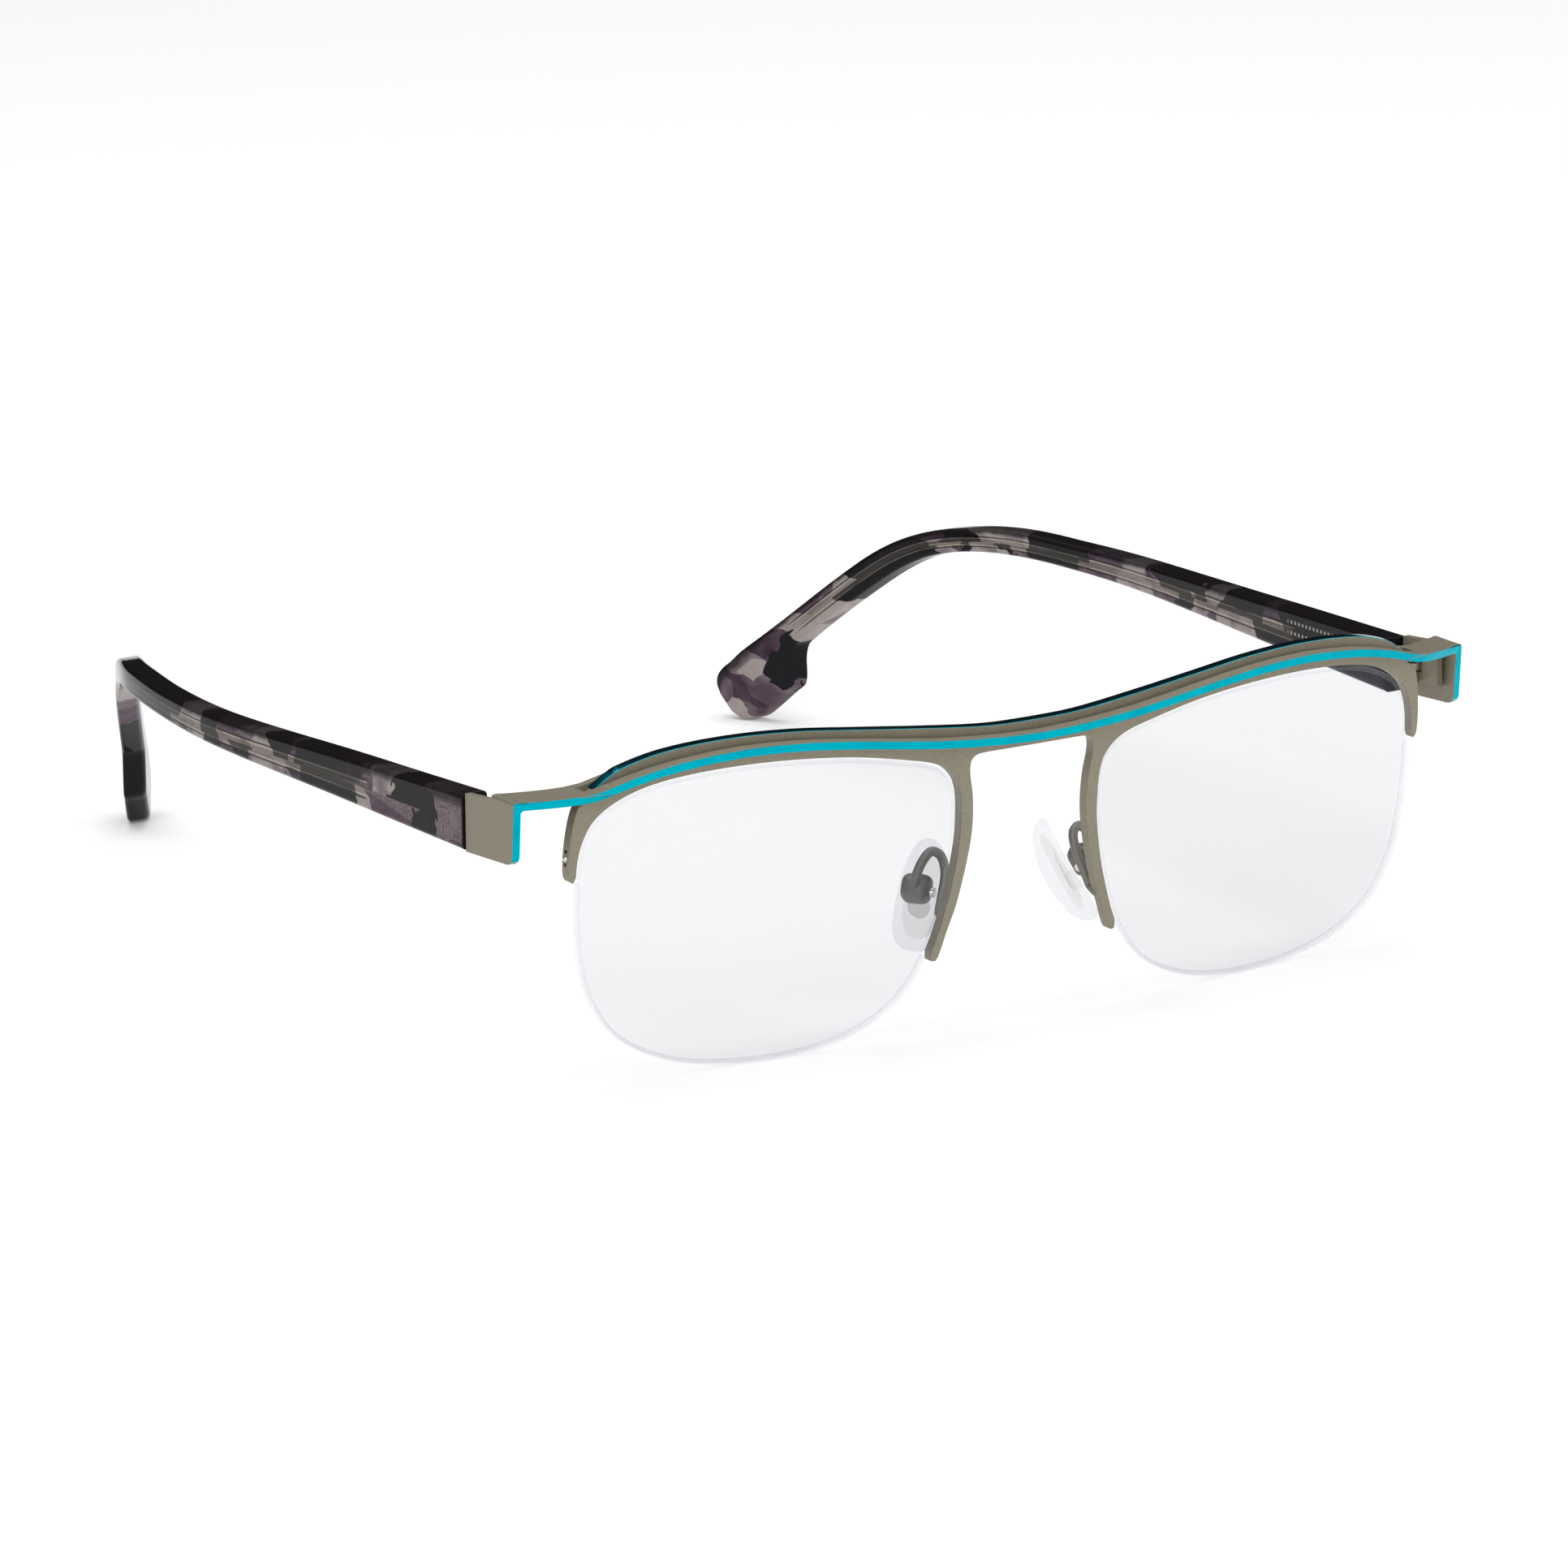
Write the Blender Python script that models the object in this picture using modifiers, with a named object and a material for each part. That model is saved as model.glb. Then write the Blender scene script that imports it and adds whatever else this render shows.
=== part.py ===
"""Half rim eyeglasses as an assembly of separate, named sub-parts.

One flat front plate carries the bridge, both upper rims, the nose arms and the outer arms.
It stands in a long slot of the brow ribbon, whose ends bend down into the side plates.
Grooved lenses hang under the rims on nylon cords, and the acetate temples fold on hinges.
X is the width with the wearer's left at +X, the front looks along -Y, and Z = 0 is the table.
Outlines below are in millimetres, measured from the front face of the plate at the bridge.
"""

import math

import bmesh
import bpy
from mathutils import Matrix, Vector

OBJECT_NAME = "half_rim_eyeglasses"
MM = 0.001
FRONT_Y = -74.6          # the bridge's front face, so that the whole object is centred on Y = 0
GAP = 0.3                # clearance between pieces that touch

# The front: base curve, its easing near the ends, and the tilt towards the cheeks
CURVE_RADIUS = 313.2
CURVE_EASE = 1.99e-8
TILT = math.tan(math.radians(4.56))
TILT_Z = 36.0
PLATE_THICKNESS = 1.6
LENS_THICKNESS = 1.8
LENS_SETBACK = -0.1
GROOVE_WIDTH = 1.1
GROOVE_DEPTH = 0.75
CORD_RADIUS = 0.25
CORD_END_NOSE = 10.4
CORD_END_OUTER = 26.6

# The brow ribbon and its side plates
RIBBON_LEAD = 2.3
RIBBON_DEPTH = 5.3
RIBBON_THICKNESS = 1.0
SLOT_END = 61.3
SIDE_X = 70.0
SIDE_THICKNESS = 0.95
SIDE_DEPTH = 11.7
SWEEP_START = 60.5
SWEEP = 2.2
SIDE_BOTTOM = 28.4
RIBBON_LEVELS = (34.0, 46.0)     # below and above the ribbon, for its cutters
RELIEF_FLOOR = 36.3

# The temple hinges
HINGE_X = 67.4
HINGE_Y = 14.6
HINGE_BOTTOM = 31.3
HINGE_TOP = 35.4
KNUCKLE_RADIUS = 1.15
PIN_HOLE = 0.7
PIN_RADIUS = 0.42
MIDDLE_BOTTOM = 32.9
MIDDLE_TOP = 33.8
TANG_END = 21.3
TANG = [
    (HINGE_X - 0.5, HINGE_Y), (HINGE_X + 0.5, HINGE_Y), (68.6, 16.2), (68.75, 19.6),
    (68.75, TANG_END), (68.15, TANG_END), (67.8, 17.5), (66.9, 15.5),
]
HINGE_LEAF_INNER = 67.9
HINGE_LEAF_FRONT = 9.6
KNUCKLE_ROOM = 1.75              # radius of the space for the middle knuckle
SCREW_HEAD_RADIUS = 0.9
SCREW_HEAD_TOP = 0.7             # above the upper knuckle
PAST_HINGE = (25.0, 40.0)        # levels below and above the hinge, for the pin's hole

# The temples
TEMPLE_FRONT = 19.3
TEMPLE_THICKNESS = 3.7
PADDLE_THICKNESS = 3.5
CORE_THICKNESS = 1.2
LEAF_END = 42.0
LEAF_WIDEST = 30.0
LEAF_HEIGHTS = (31.0, 30.2, 34.0, 34.6)
WIRE_HALF = 0.65
TEMPLE_CHAMFER = 0.55
CORE_END = 139.5

# The nose pads: pivot on the pad box, long axis pointing down, and the way they face
PAD_PIVOT = Vector((12.2, 7.9, 17.2))
PAD_DOWN = Vector((0.374, -0.302, -0.877)).normalized()
PAD_FACE = Vector((-0.685, 0.547, -0.481)).normalized()
PAD_OFFSET = 3.1
PAD_HALF = (3.4, 1.5, 7.2)

# The pads' hardware, in the pad's own directions: across it, towards the nose, and up.
# A box is given by two opposite corners, and a screw's part by its radius and two ends
PAD_ARM_RADIUS = 0.5
PAD_BOX_BACK = 1.8
PAD_BOX = ((-1.6, -PAD_BOX_BACK, -1.7), (1.6, 1.0, 1.7))
PAD_BOX_HOLLOW = ((-1.0, -1.3, -1.3), (1.0, 3.0, 1.3))
PAD_SCREW_SHANK = (0.4, -2.2, 2.0)
PAD_SCREW_HEAD = (0.85, -2.4, -1.9)
INSERT_EYE = (1.0, -0.65, 0.65)
INSERT_NECK = ((-0.55, 0.3, -0.7), (0.55, 2.3, 0.7))
INSERT_PLATE = ((-1.5, 1.95, -3.0), (1.5, 2.65, 3.0))
INSERT_POCKET = ((-1.85, 0.0, -3.35), (1.85, 2.95, 3.35))
PAST_PAD = 4.0                   # reach of the cross hole's cutter on either side

# Smooth curves run through these points
LENS_POINTS = [
    (10.35, 27.0), (10.9, 32.3), (13.2, 34.8), (18.0, 36.25), (27.0, 37.85), (38.0, 38.55),
    (48.0, 38.15), (54.6, 36.8), (59.2, 34.1), (61.1, 30.3), (61.5, 25.0), (61.15, 18.0),
    (59.5, 11.0), (55.3, 5.0), (47.0, 1.1), (35.0, 0.0), (25.4, 1.25), (18.5, 4.7),
    (14.3, 10.2), (11.9, 17.0), (10.75, 22.5),
]
RIM_END_NOSE = 10.6
RIM_END_OUTER = 27.0
BROW_TOP = [
    (-2.0, 39.35), (6.4, 39.5), (15.7, 40.45), (24.8, 41.5), (33.6, 42.4), (42.3, 42.6),
    (50.7, 41.9), (56.5, 40.35), (58.4, 39.2),
]
OUTER_ARM = [
    (59.9, 38.0), (60.5, 36.6), (61.6, 36.1), (62.2, 34.5), (62.6, 32.0), (62.8, 29.5),
    (62.75, 27.3), (62.5, 26.5), (62.1, 26.25),
]
NOSE_ARM = [
    (13.6, 9.7), (12.9, 9.7), (12.3, 10.9), (11.5, 13.3), (10.3, 16.6), (9.1, 21.6),
    (8.4, 26.3), (8.5, 30.6), (9.0, 33.6), (8.9, 35.2), (8.1, 35.9), (6.5, 36.05),
]
BRIDGE_BOTTOM = (-2.0, 36.0)
RIBBON_BOTTOM = [
    (-2.0, 37.15), (5.4, 37.35), (14.7, 38.1), (23.8, 39.3), (32.7, 40.3), (41.4, 40.55),
    (49.8, 39.8), (56.0, 38.5), (60.1, 37.25), (64.0, 36.7), (68.4, 36.4),
]
TEMPLE_SIDE = [
    ((TEMPLE_FRONT, 35.9), (TEMPLE_FRONT, 28.7)), ((32.0, 35.3), (32.0, 28.75)),
    ((45.0, 34.7), (45.0, 28.8)), ((75.0, 33.2), (75.0, 28.9)), ((95.0, 32.6), (94.0, 29.0)),
    ((108.0, 32.3), (106.0, 28.9)), ((118.0, 31.0), (115.5, 28.1)),
    ((125.0, 28.6), (122.0, 26.2)), ((131.0, 24.6), (128.4, 22.0)),
    ((143.3, 13.2), (139.6, 11.7)), ((144.6, 12.0), (140.3, 9.6)), ((147.2, 9.6), (140.4, 5.6)),
    ((148.5, 8.1), (141.6, 4.2)), ((149.6, 7.0), (144.8, 0.8)), ((150.2, 6.0), (145.8, 0.1)),
    ((150.3, 5.0), (146.8, 0.0)), ((149.9, 3.8), (147.8, 0.6)),
]
TEMPLE_PLAN = [
    (0.0, 69.6), (19.3, 70.3), (35.0, 71.0), (50.0, 71.6), (78.0, 72.9), (92.0, 72.2),
    (108.0, 69.5), (119.0, 65.4), (130.4, 59.8), (152.0, 47.0),
]
CORE_LINE = [
    (LEAF_END, 31.6), (75.0, 30.9), (100.0, 30.7), (112.0, 30.0), (122.0, 27.6),
    (130.0, 22.7), (CORE_END, 13.7),
]
PAD_ARM_ROUTE = [
    (11.2, 4.35, 15.2), (10.6, 4.6, 17.0), (9.7, 5.2, 19.8), (9.8, 6.0, 21.8),
    (10.9, 6.4, 22.5), (12.2, 6.4, 21.5), (13.1, 6.4, 19.9),
]

MATERIALS = {
    "khaki_metal": ((0.24, 0.225, 0.16), 0.5, 0.8),
    "clear_lens": ((0.90, 0.92, 0.93), 0.05, 0.0),
    "nylon": ((0.85, 0.87, 0.86), 0.2, 0.0),
    "silicone": ((0.80, 0.82, 0.80), 0.3, 0.0),
    "insert_plastic": ((0.70, 0.72, 0.70), 0.3, 0.0),
    "screw_steel": ((0.55, 0.54, 0.50), 0.3, 1.0),
    "dark_acetate": ((0.055, 0.05, 0.055), 0.15, 0.0),
    "core_metal": ((0.42, 0.38, 0.30), 0.35, 1.0),
}


def clear_scene():
    for item in list(bpy.data.objects):
        bpy.data.objects.remove(item, do_unlink=True)


def make_collection(name):
    collection = bpy.data.collections.new(name)
    bpy.context.scene.collection.children.link(collection)
    return collection


def material(name):
    found = bpy.data.materials.get(name)
    if found:
        return found
    color, roughness, metallic = MATERIALS[name]
    made = bpy.data.materials.new(name)
    made.use_nodes = True
    shader = made.node_tree.nodes["Principled BSDF"]
    shader.inputs["Base Color"].default_value = (*color, 1.0)
    shader.inputs["Roughness"].default_value = roughness
    shader.inputs["Metallic"].default_value = metallic
    made.diffuse_color = (*color, 1.0)
    return made


# ---------------------------------------------------------------- curves in the plane

def smooth_path(points, steps, closed=False):
    """Points along a chord-length Catmull-Rom curve through the given points."""
    knots = [Vector(p) for p in points]
    count = len(knots)

    def knot(index):
        if closed:
            return knots[index % count]
        return knots[min(max(index, 0), count - 1)]

    path = []
    for i in range(count if closed else count - 1):
        before, start, end, after = (knot(i + k) for k in (-1, 0, 1, 2))
        span = (end - start).length
        slope_in = (end - before) * (span / max((start - before).length + span, 1e-9))
        slope_out = (after - start) * (span / max((after - end).length + span, 1e-9))
        for k in range(steps):
            t = k / steps
            path.append(
                start * (2 * t**3 - 3 * t**2 + 1) + slope_in * (t**3 - 2 * t**2 + t)
                + end * (3 * t**2 - 2 * t**3) + slope_out * (t**3 - t**2)
            )
    if not closed:
        path.append(knots[-1].copy())
    return path


def along(points, value):
    """Height of a smooth curve at one place along its first coordinate."""
    path = smooth_path(points, 8)
    for a, b in zip(path, path[1:]):
        if value <= b.x:
            return a.y + (b.y - a.y) * (value - a.x) / (b.x - a.x)
    return path[-1].y


def offset_closed(path, distance):
    """Move a clockwise closed outline outwards."""
    moved = []
    for i, point in enumerate(path):
        along_path = path[(i + 1) % len(path)] - path[i - 1]
        normal = Vector((-along_path.y, along_path.x)).normalized()
        moved.append(point + normal * distance)
    return moved


# ---------------------------------------------------------------- where flat shapes bend to

def front_depth(x, z):
    """Y of the plate's front face at one place of the front."""
    return x * x / (2 * CURVE_RADIUS) - CURVE_EASE * x**4 + (TILT_Z - z) * TILT


def bend_plate(point):
    return Vector((point.x, point.y + front_depth(point.x, point.z), point.z))


def bend_ribbon(point):
    """The ribbon follows the plate, then its ends sweep back to upright side plates."""
    part = min(max((abs(point.x) - SWEEP_START) / (SIDE_X - SIDE_THICKNESS - SWEEP_START), 0), 1)
    upright = (TILT_Z - point.z) * TILT * part * point.y / SIDE_DEPTH
    shift = front_depth(point.x, point.z) - RIBBON_LEAD + SWEEP * part**1.3 - upright
    return Vector((point.x, point.y + shift, point.z))


def bend_temple(point):
    """Flat temples have their outer face at x = 0 and grow inwards."""
    thin = min(max((point.y - 90.0) / 50.0, 0), 1)
    scale = 1 + (PADDLE_THICKNESS / TEMPLE_THICKNESS - 1) * thin
    return Vector((along(TEMPLE_PLAN, point.y) + point.x * scale, point.y, point.z))


# ---------------------------------------------------------------- building blocks

def tidy(bm):
    bmesh.ops.remove_doubles(bm, verts=bm.verts, dist=1e-4)
    bmesh.ops.dissolve_degenerate(bm, edges=bm.edges, dist=1e-4)
    bmesh.ops.recalc_face_normals(bm, faces=bm.faces)


def prism(outline, start, end, plane):
    """A flat outline, made as a filled 2D curve, standing in the XZ or the YZ plane."""
    curve = bpy.data.curves.new("outline", "CURVE")
    curve.dimensions = "2D"
    curve.fill_mode = "BOTH"
    curve.extrude = (end - start) / 2
    spline = curve.splines.new("POLY")
    spline.points.add(len(outline) - 1)
    for point, place in zip(spline.points, outline):
        point.co = (place[0], place[1], 0, 1)
    spline.use_cyclic_u = True
    holder = bpy.data.objects.new("outline", curve)
    bpy.context.scene.collection.objects.link(holder)
    bpy.context.view_layer.update()
    evaluated = holder.evaluated_get(bpy.context.evaluated_depsgraph_get())
    mesh = bpy.data.meshes.new_from_object(evaluated)
    bpy.data.objects.remove(holder)
    bpy.data.curves.remove(curve)
    middle = (start + end) / 2
    if plane == "XZ":
        place = Matrix(((1, 0, 0, 0), (0, 0, -1, middle), (0, 1, 0, 0), (0, 0, 0, 1)))
    else:
        place = Matrix(((0, 0, 1, middle), (1, 0, 0, 0), (0, 1, 0, 0), (0, 0, 0, 1)))
    bm = bmesh.new()
    bm.from_mesh(mesh)
    bpy.data.meshes.remove(mesh)
    bm.transform(place)
    tidy(bm)
    return bm


def box(low, high):
    bm = bmesh.new()
    bmesh.ops.create_cube(bm, size=1)
    size = Vector(high) - Vector(low)
    centre = (Vector(high) + Vector(low)) / 2
    bm.transform(Matrix.Translation(centre) @ Matrix.Diagonal((*size, 1)))
    return bm


def cylinder(radius, low, high, sides=20, centre=(0, 0), turn=Matrix.Identity(4)):
    """A cylinder along local Z between two heights."""
    bm = bmesh.new()
    bmesh.ops.create_cone(
        bm, cap_ends=True, segments=sides, radius1=radius, radius2=radius, depth=high - low
    )
    bm.transform(turn @ Matrix.Translation((*centre, (low + high) / 2)))
    return bm


def slice_up(bm, axis, places):
    """Cut a solid's faces at regular places, so that it can bend smoothly."""
    normal = Vector((0, 0, 0))
    normal[axis] = 1
    for place in places:
        geometry = list(bm.verts) + list(bm.edges) + list(bm.faces)
        bmesh.ops.bisect_plane(
            bm, geom=geometry, dist=1e-4, plane_co=normal * place, plane_no=normal
        )


def combine(base, other, operation, cutters):
    """Union or difference of two solids with a Boolean modifier."""
    objects = []
    for bm in (base, other):
        mesh = bpy.data.meshes.new("work")
        bm.to_mesh(mesh)
        bm.free()
        objects.append(bpy.data.objects.new("work", mesh))
        cutters.objects.link(objects[-1])
    modifier = objects[0].modifiers.new("Boolean", "BOOLEAN")
    modifier.operation = operation
    modifier.object = objects[1]
    bpy.context.view_layer.update()
    evaluated = objects[0].evaluated_get(bpy.context.evaluated_depsgraph_get())
    mesh = bpy.data.meshes.new_from_object(evaluated)
    result = bmesh.new()
    result.from_mesh(mesh)
    bpy.data.meshes.remove(mesh)
    for item in objects:
        bpy.data.objects.remove(item, do_unlink=True)
    tidy(result)
    return result


def place_part(bm, name, finish, home, parent=None, origin=(0, 0, 0), mirror=False, sharp=35):
    """Turn a solid in millimetres into a named object, with its origin at a chosen point."""
    tidy(bm)
    origin = Vector(origin)
    bm.transform(Matrix.Scale(MM, 4) @ Matrix.Translation(-origin))
    mesh = bpy.data.meshes.new(name)
    bm.to_mesh(mesh)
    bm.free()
    mesh.shade_smooth()
    mesh.set_sharp_from_angle(angle=math.radians(sharp))
    mesh.materials.append(material(finish))
    made = bpy.data.objects.new(name, mesh)
    home.objects.link(made)
    if mirror:
        half = made.modifiers.new("Mirror", "MIRROR")
        half.use_bisect_axis[0] = True
        half.merge_threshold = 0.00001
    if parent:
        made.parent = parent
        parent_place = Vector(parent["place"])
    else:
        parent_place = Vector((0, 0, 0))
    made.location = (origin - parent_place) * MM
    if not parent:
        made.location.y += FRONT_Y * MM
    return made


def axis_empty(name, place, home):
    """A guide on a joint's axis that the moving pieces hang from."""
    empty = bpy.data.objects.new(name, None)
    home.objects.link(empty)
    empty.empty_display_size = 3 * MM
    empty.hide_render = True
    empty.location = (Vector(place) + Vector((0, FRONT_Y, 0))) * MM
    empty["place"] = list(place)
    return empty


def reflect(bm, side):
    """Turn a piece of the wearer's left side into the right one."""
    if side < 0:
        bm.transform(Matrix.Diagonal((-1, 1, 1, 1)))
        bmesh.ops.reverse_faces(bm, faces=bm.faces)
    return bm


# ---------------------------------------------------------------- the front

def lens_outline(steps=3):
    return smooth_path(LENS_POINTS, steps, closed=True)


def rim_path():
    """The rim's lens side, from the nose arm's tip over the top to the outer arm's end."""
    path = offset_closed(lens_outline(), GAP)
    kept = [p for p in path if p.y > (RIM_END_NOSE if p.x < 36 else RIM_END_OUTER)]
    first = next(i for i, p in enumerate(kept) if p.x > 36 and kept[i + 1].x < 36)
    return kept[first + 1:] + kept[:first + 1]


def make_front_plate(home):
    outline = [Vector(BRIDGE_BOTTOM)]
    outline += reversed(smooth_path(NOSE_ARM, 2))
    outline += rim_path()
    outline += reversed(smooth_path(OUTER_ARM, 2))
    outline += reversed(smooth_path(BROW_TOP, 3))
    bm = prism(outline, 0, PLATE_THICKNESS, "XZ")
    slice_up(bm, 0, [4 * k for k in range(1, 15)])
    for vertex in bm.verts:
        vertex.co = bend_plate(vertex.co)
    return place_part(bm, "front_plate", "khaki_metal", home, mirror=True)


def ribbon_profile():
    """The ribbon seen from the front, with its end bent down into the side plate."""
    bottom = smooth_path(RIBBON_BOTTOM, 2)
    inner = SIDE_X - SIDE_THICKNESS
    flange = RIBBON_BOTTOM[-1][1]
    corner = [(inner - 0.2, flange - 0.08), (inner, flange - 0.35)]
    corner += [(inner, SIDE_BOTTOM), (SIDE_X, SIDE_BOTTOM)]
    corner += [(SIDE_X, flange + 0.7), (SIDE_X - 0.12, flange + 0.9), (SIDE_X - 0.4, flange + 1.0)]
    top = [p + Vector((0, RIBBON_THICKNESS)) for p in reversed(bottom)]
    return bottom + [Vector(p) for p in corner] + top


def make_brow_ribbon(home, cutters):
    below, above = RIBBON_LEVELS
    beyond = SIDE_DEPTH + 1
    bm = prism(ribbon_profile(), 0, SIDE_DEPTH, "XZ")
    behind = box((-5, RIBBON_DEPTH, TILT_Z), (SIDE_X - 0.8, beyond, above))
    bm = combine(bm, behind, "DIFFERENCE", cutters)
    relief = [
        (RIBBON_DEPTH, above), (RIBBON_DEPTH, RELIEF_FLOOR + 0.3),
        (RIBBON_DEPTH + 0.25, RELIEF_FLOOR), (RIBBON_DEPTH + 0.7, RELIEF_FLOOR),
        (RIBBON_DEPTH + 1.2, RELIEF_FLOOR + 0.3), (beyond, RELIEF_FLOOR - 0.35), (beyond, above),
    ]
    bm = combine(bm, prism(relief, SIDE_X - 2, SIDE_X + 2, "YZ"), "DIFFERENCE", cutters)
    heel = [
        (-1, SIDE_BOTTOM - 1), (-1, SIDE_BOTTOM + 3), (0, SIDE_BOTTOM + 2),
        (0.35, SIDE_BOTTOM + 1.4), (1.2, SIDE_BOTTOM + 0.95), (beyond, SIDE_BOTTOM + 0.2),
        (beyond, SIDE_BOTTOM - 1),
    ]
    bm = combine(bm, prism(heel, SIDE_X - 4, SIDE_X + 2, "YZ"), "DIFFERENCE", cutters)
    rear = RIBBON_LEAD + PLATE_THICKNESS + GAP
    slot = box((-5, RIBBON_LEAD - GAP, below), (SLOT_END, rear, above))
    bm = combine(bm, slot, "DIFFERENCE", cutters)
    slice_up(bm, 0, [4 * k for k in range(1, 15)] + [62.5, 64.5, 66.5])
    for vertex in bm.verts:
        vertex.co = bend_ribbon(vertex.co)
    return place_part(bm, "brow_ribbon", "khaki_metal", home, mirror=True)


def ring_solid(rings):
    """A closed solid through equal rings of points, with filled ends."""
    bm = bmesh.new()
    loops = [[bm.verts.new(p) for p in ring] for ring in rings]
    for low, high in zip(loops, loops[1:]):
        for i in range(len(low)):
            j = (i + 1) % len(low)
            bm.faces.new((low[i], low[j], high[j], high[i]))
    for loop in (loops[0], loops[-1]):
        bm.faces.new(loop)
    bmesh.ops.triangulate(bm, faces=[f for f in bm.faces if len(f.verts) > 4])
    tidy(bm)
    return bm


def make_lens(side, word, home):
    """A lens with a groove all round its edge for the cord."""
    outline = lens_outline()
    inset = offset_closed(outline, -GROOVE_DEPTH)
    middle = LENS_THICKNESS / 2
    levels = [
        (0, outline), (middle - GROOVE_WIDTH / 2, outline), (middle - GROOVE_WIDTH / 2, inset),
        (middle + GROOVE_WIDTH / 2, inset), (middle + GROOVE_WIDTH / 2, outline),
        (LENS_THICKNESS, outline),
    ]
    rings = [[Vector((p.x, LENS_SETBACK + y, p.y)) for p in path] for y, path in levels]
    bm = ring_solid(rings)
    slice_up(bm, 0, [14 + 5 * k for k in range(10)])
    for vertex in bm.verts:
        vertex.co = bend_plate(vertex.co)
    return place_part(reflect(bm, side), "lens_" + word, "clear_lens", home)


def tube(points, radius, resolution):
    """A round wire: a bevelled poly curve with filled caps, turned into a closed mesh."""
    curve = bpy.data.curves.new("wire", "CURVE")
    curve.dimensions = "3D"
    curve.bevel_depth = radius
    curve.bevel_resolution = resolution
    curve.use_fill_caps = True
    spline = curve.splines.new("POLY")
    spline.points.add(len(points) - 1)
    for point, place in zip(spline.points, points):
        point.co = (*place, 1)
    holder = bpy.data.objects.new("wire", curve)
    bpy.context.scene.collection.objects.link(holder)
    bpy.context.view_layer.update()
    evaluated = holder.evaluated_get(bpy.context.evaluated_depsgraph_get())
    mesh = bpy.data.meshes.new_from_object(evaluated)
    bm = bmesh.new()
    bm.from_mesh(mesh)
    bpy.data.objects.remove(holder)
    bpy.data.curves.remove(curve)
    bpy.data.meshes.remove(mesh)
    tidy(bm)
    return bm


def make_cord(side, word, home):
    """The nylon cord lies in the lens groove from the outer arm round to the nose arm."""
    path = offset_closed(lens_outline(), -GROOVE_DEPTH + CORD_RADIUS + 0.12)
    low = [p for p in path if p.y < (CORD_END_NOSE if p.x < 36 else CORD_END_OUTER)]
    depth = LENS_SETBACK + LENS_THICKNESS / 2
    route = [bend_plate(Vector((p.x, depth, p.y))) for p in low]
    bm = tube(route, CORD_RADIUS, 1)
    return place_part(reflect(bm, side), "nylon_cord_" + word, "nylon", home)


# ---------------------------------------------------------------- nose pads

def pad_frame():
    """Pad directions: local X across the pad, local Y towards the nose, local Z up."""
    up = -PAD_DOWN
    face = (PAD_FACE - PAD_FACE.dot(up) * up).normalized()
    across = face.cross(up).normalized()
    turn = Matrix((across, face, up)).transposed().to_4x4()
    return Matrix.Translation(PAD_PIVOT) @ turn


def make_pad_arm(side, word, home):
    end = pad_frame() @ Vector((0, -PAD_BOX_BACK - GAP - 0.1, 0))
    route = smooth_path(PAD_ARM_ROUTE + [tuple(end)], 4)
    bm = tube(route, PAD_ARM_RADIUS, 2)
    return place_part(reflect(bm, side), "pad_arm_" + word, "khaki_metal", home)


def make_pad_box(side, word, home, cutters):
    """A small cup, open towards the pad, with cross holes for its screw."""
    bm = combine(box(*PAD_BOX), box(*PAD_BOX_HOLLOW), "DIFFERENCE", cutters)
    across = Matrix.Rotation(math.pi / 2, 4, "Y")
    hole = cylinder(PIN_HOLE, -PAST_PAD, PAST_PAD, sides=16, turn=across)
    bm = combine(bm, hole, "DIFFERENCE", cutters)
    bm.transform(pad_frame())
    return place_part(reflect(bm, side), "pad_box_" + word, "khaki_metal", home)


def make_pad_screw(side, word, home, cutters):
    across = Matrix.Rotation(math.pi / 2, 4, "Y")
    shank = cylinder(*PAD_SCREW_SHANK, sides=12, turn=across)
    head = cylinder(*PAD_SCREW_HEAD, sides=16, turn=across)
    bm = combine(shank, head, "UNION", cutters)
    bm.transform(pad_frame())
    return place_part(reflect(bm, side), "pad_screw_" + word, "screw_steel", home)


def make_pad_insert(side, word, home, cutters, pivot):
    """The hard insert: a plate inside the pad and an eye that the screw passes through."""
    across = Matrix.Rotation(math.pi / 2, 4, "Y")
    bm = cylinder(*INSERT_EYE, sides=20, turn=across)
    bm = combine(bm, box(*INSERT_NECK), "UNION", cutters)
    bm = combine(bm, box(*INSERT_PLATE), "UNION", cutters)
    hole = cylinder(PIN_HOLE, -PAST_PAD, PAST_PAD, sides=16, turn=across)
    bm = combine(bm, hole, "DIFFERENCE", cutters)
    bm.transform(pad_frame())
    place = pivot["place"]
    return place_part(reflect(bm, side), "pad_insert_" + word, "insert_plastic", home, pivot, place)


def make_nose_pad(side, word, home, cutters, pivot):
    """A soft oval pad with a pocket in its back for the insert."""
    bm = bmesh.new()
    bmesh.ops.create_uvsphere(bm, u_segments=20, v_segments=12, radius=1)
    place = Matrix.Translation((0, PAD_OFFSET, 0)) @ Matrix.Diagonal((*PAD_HALF, 1))
    bm.transform(place)
    bm = combine(bm, box(*INSERT_POCKET), "DIFFERENCE", cutters)
    bm.transform(pad_frame())
    place = pivot["place"]
    return place_part(reflect(bm, side), "nose_pad_" + word, "silicone", home, pivot, place)


# ---------------------------------------------------------------- hinges and temples

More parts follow.
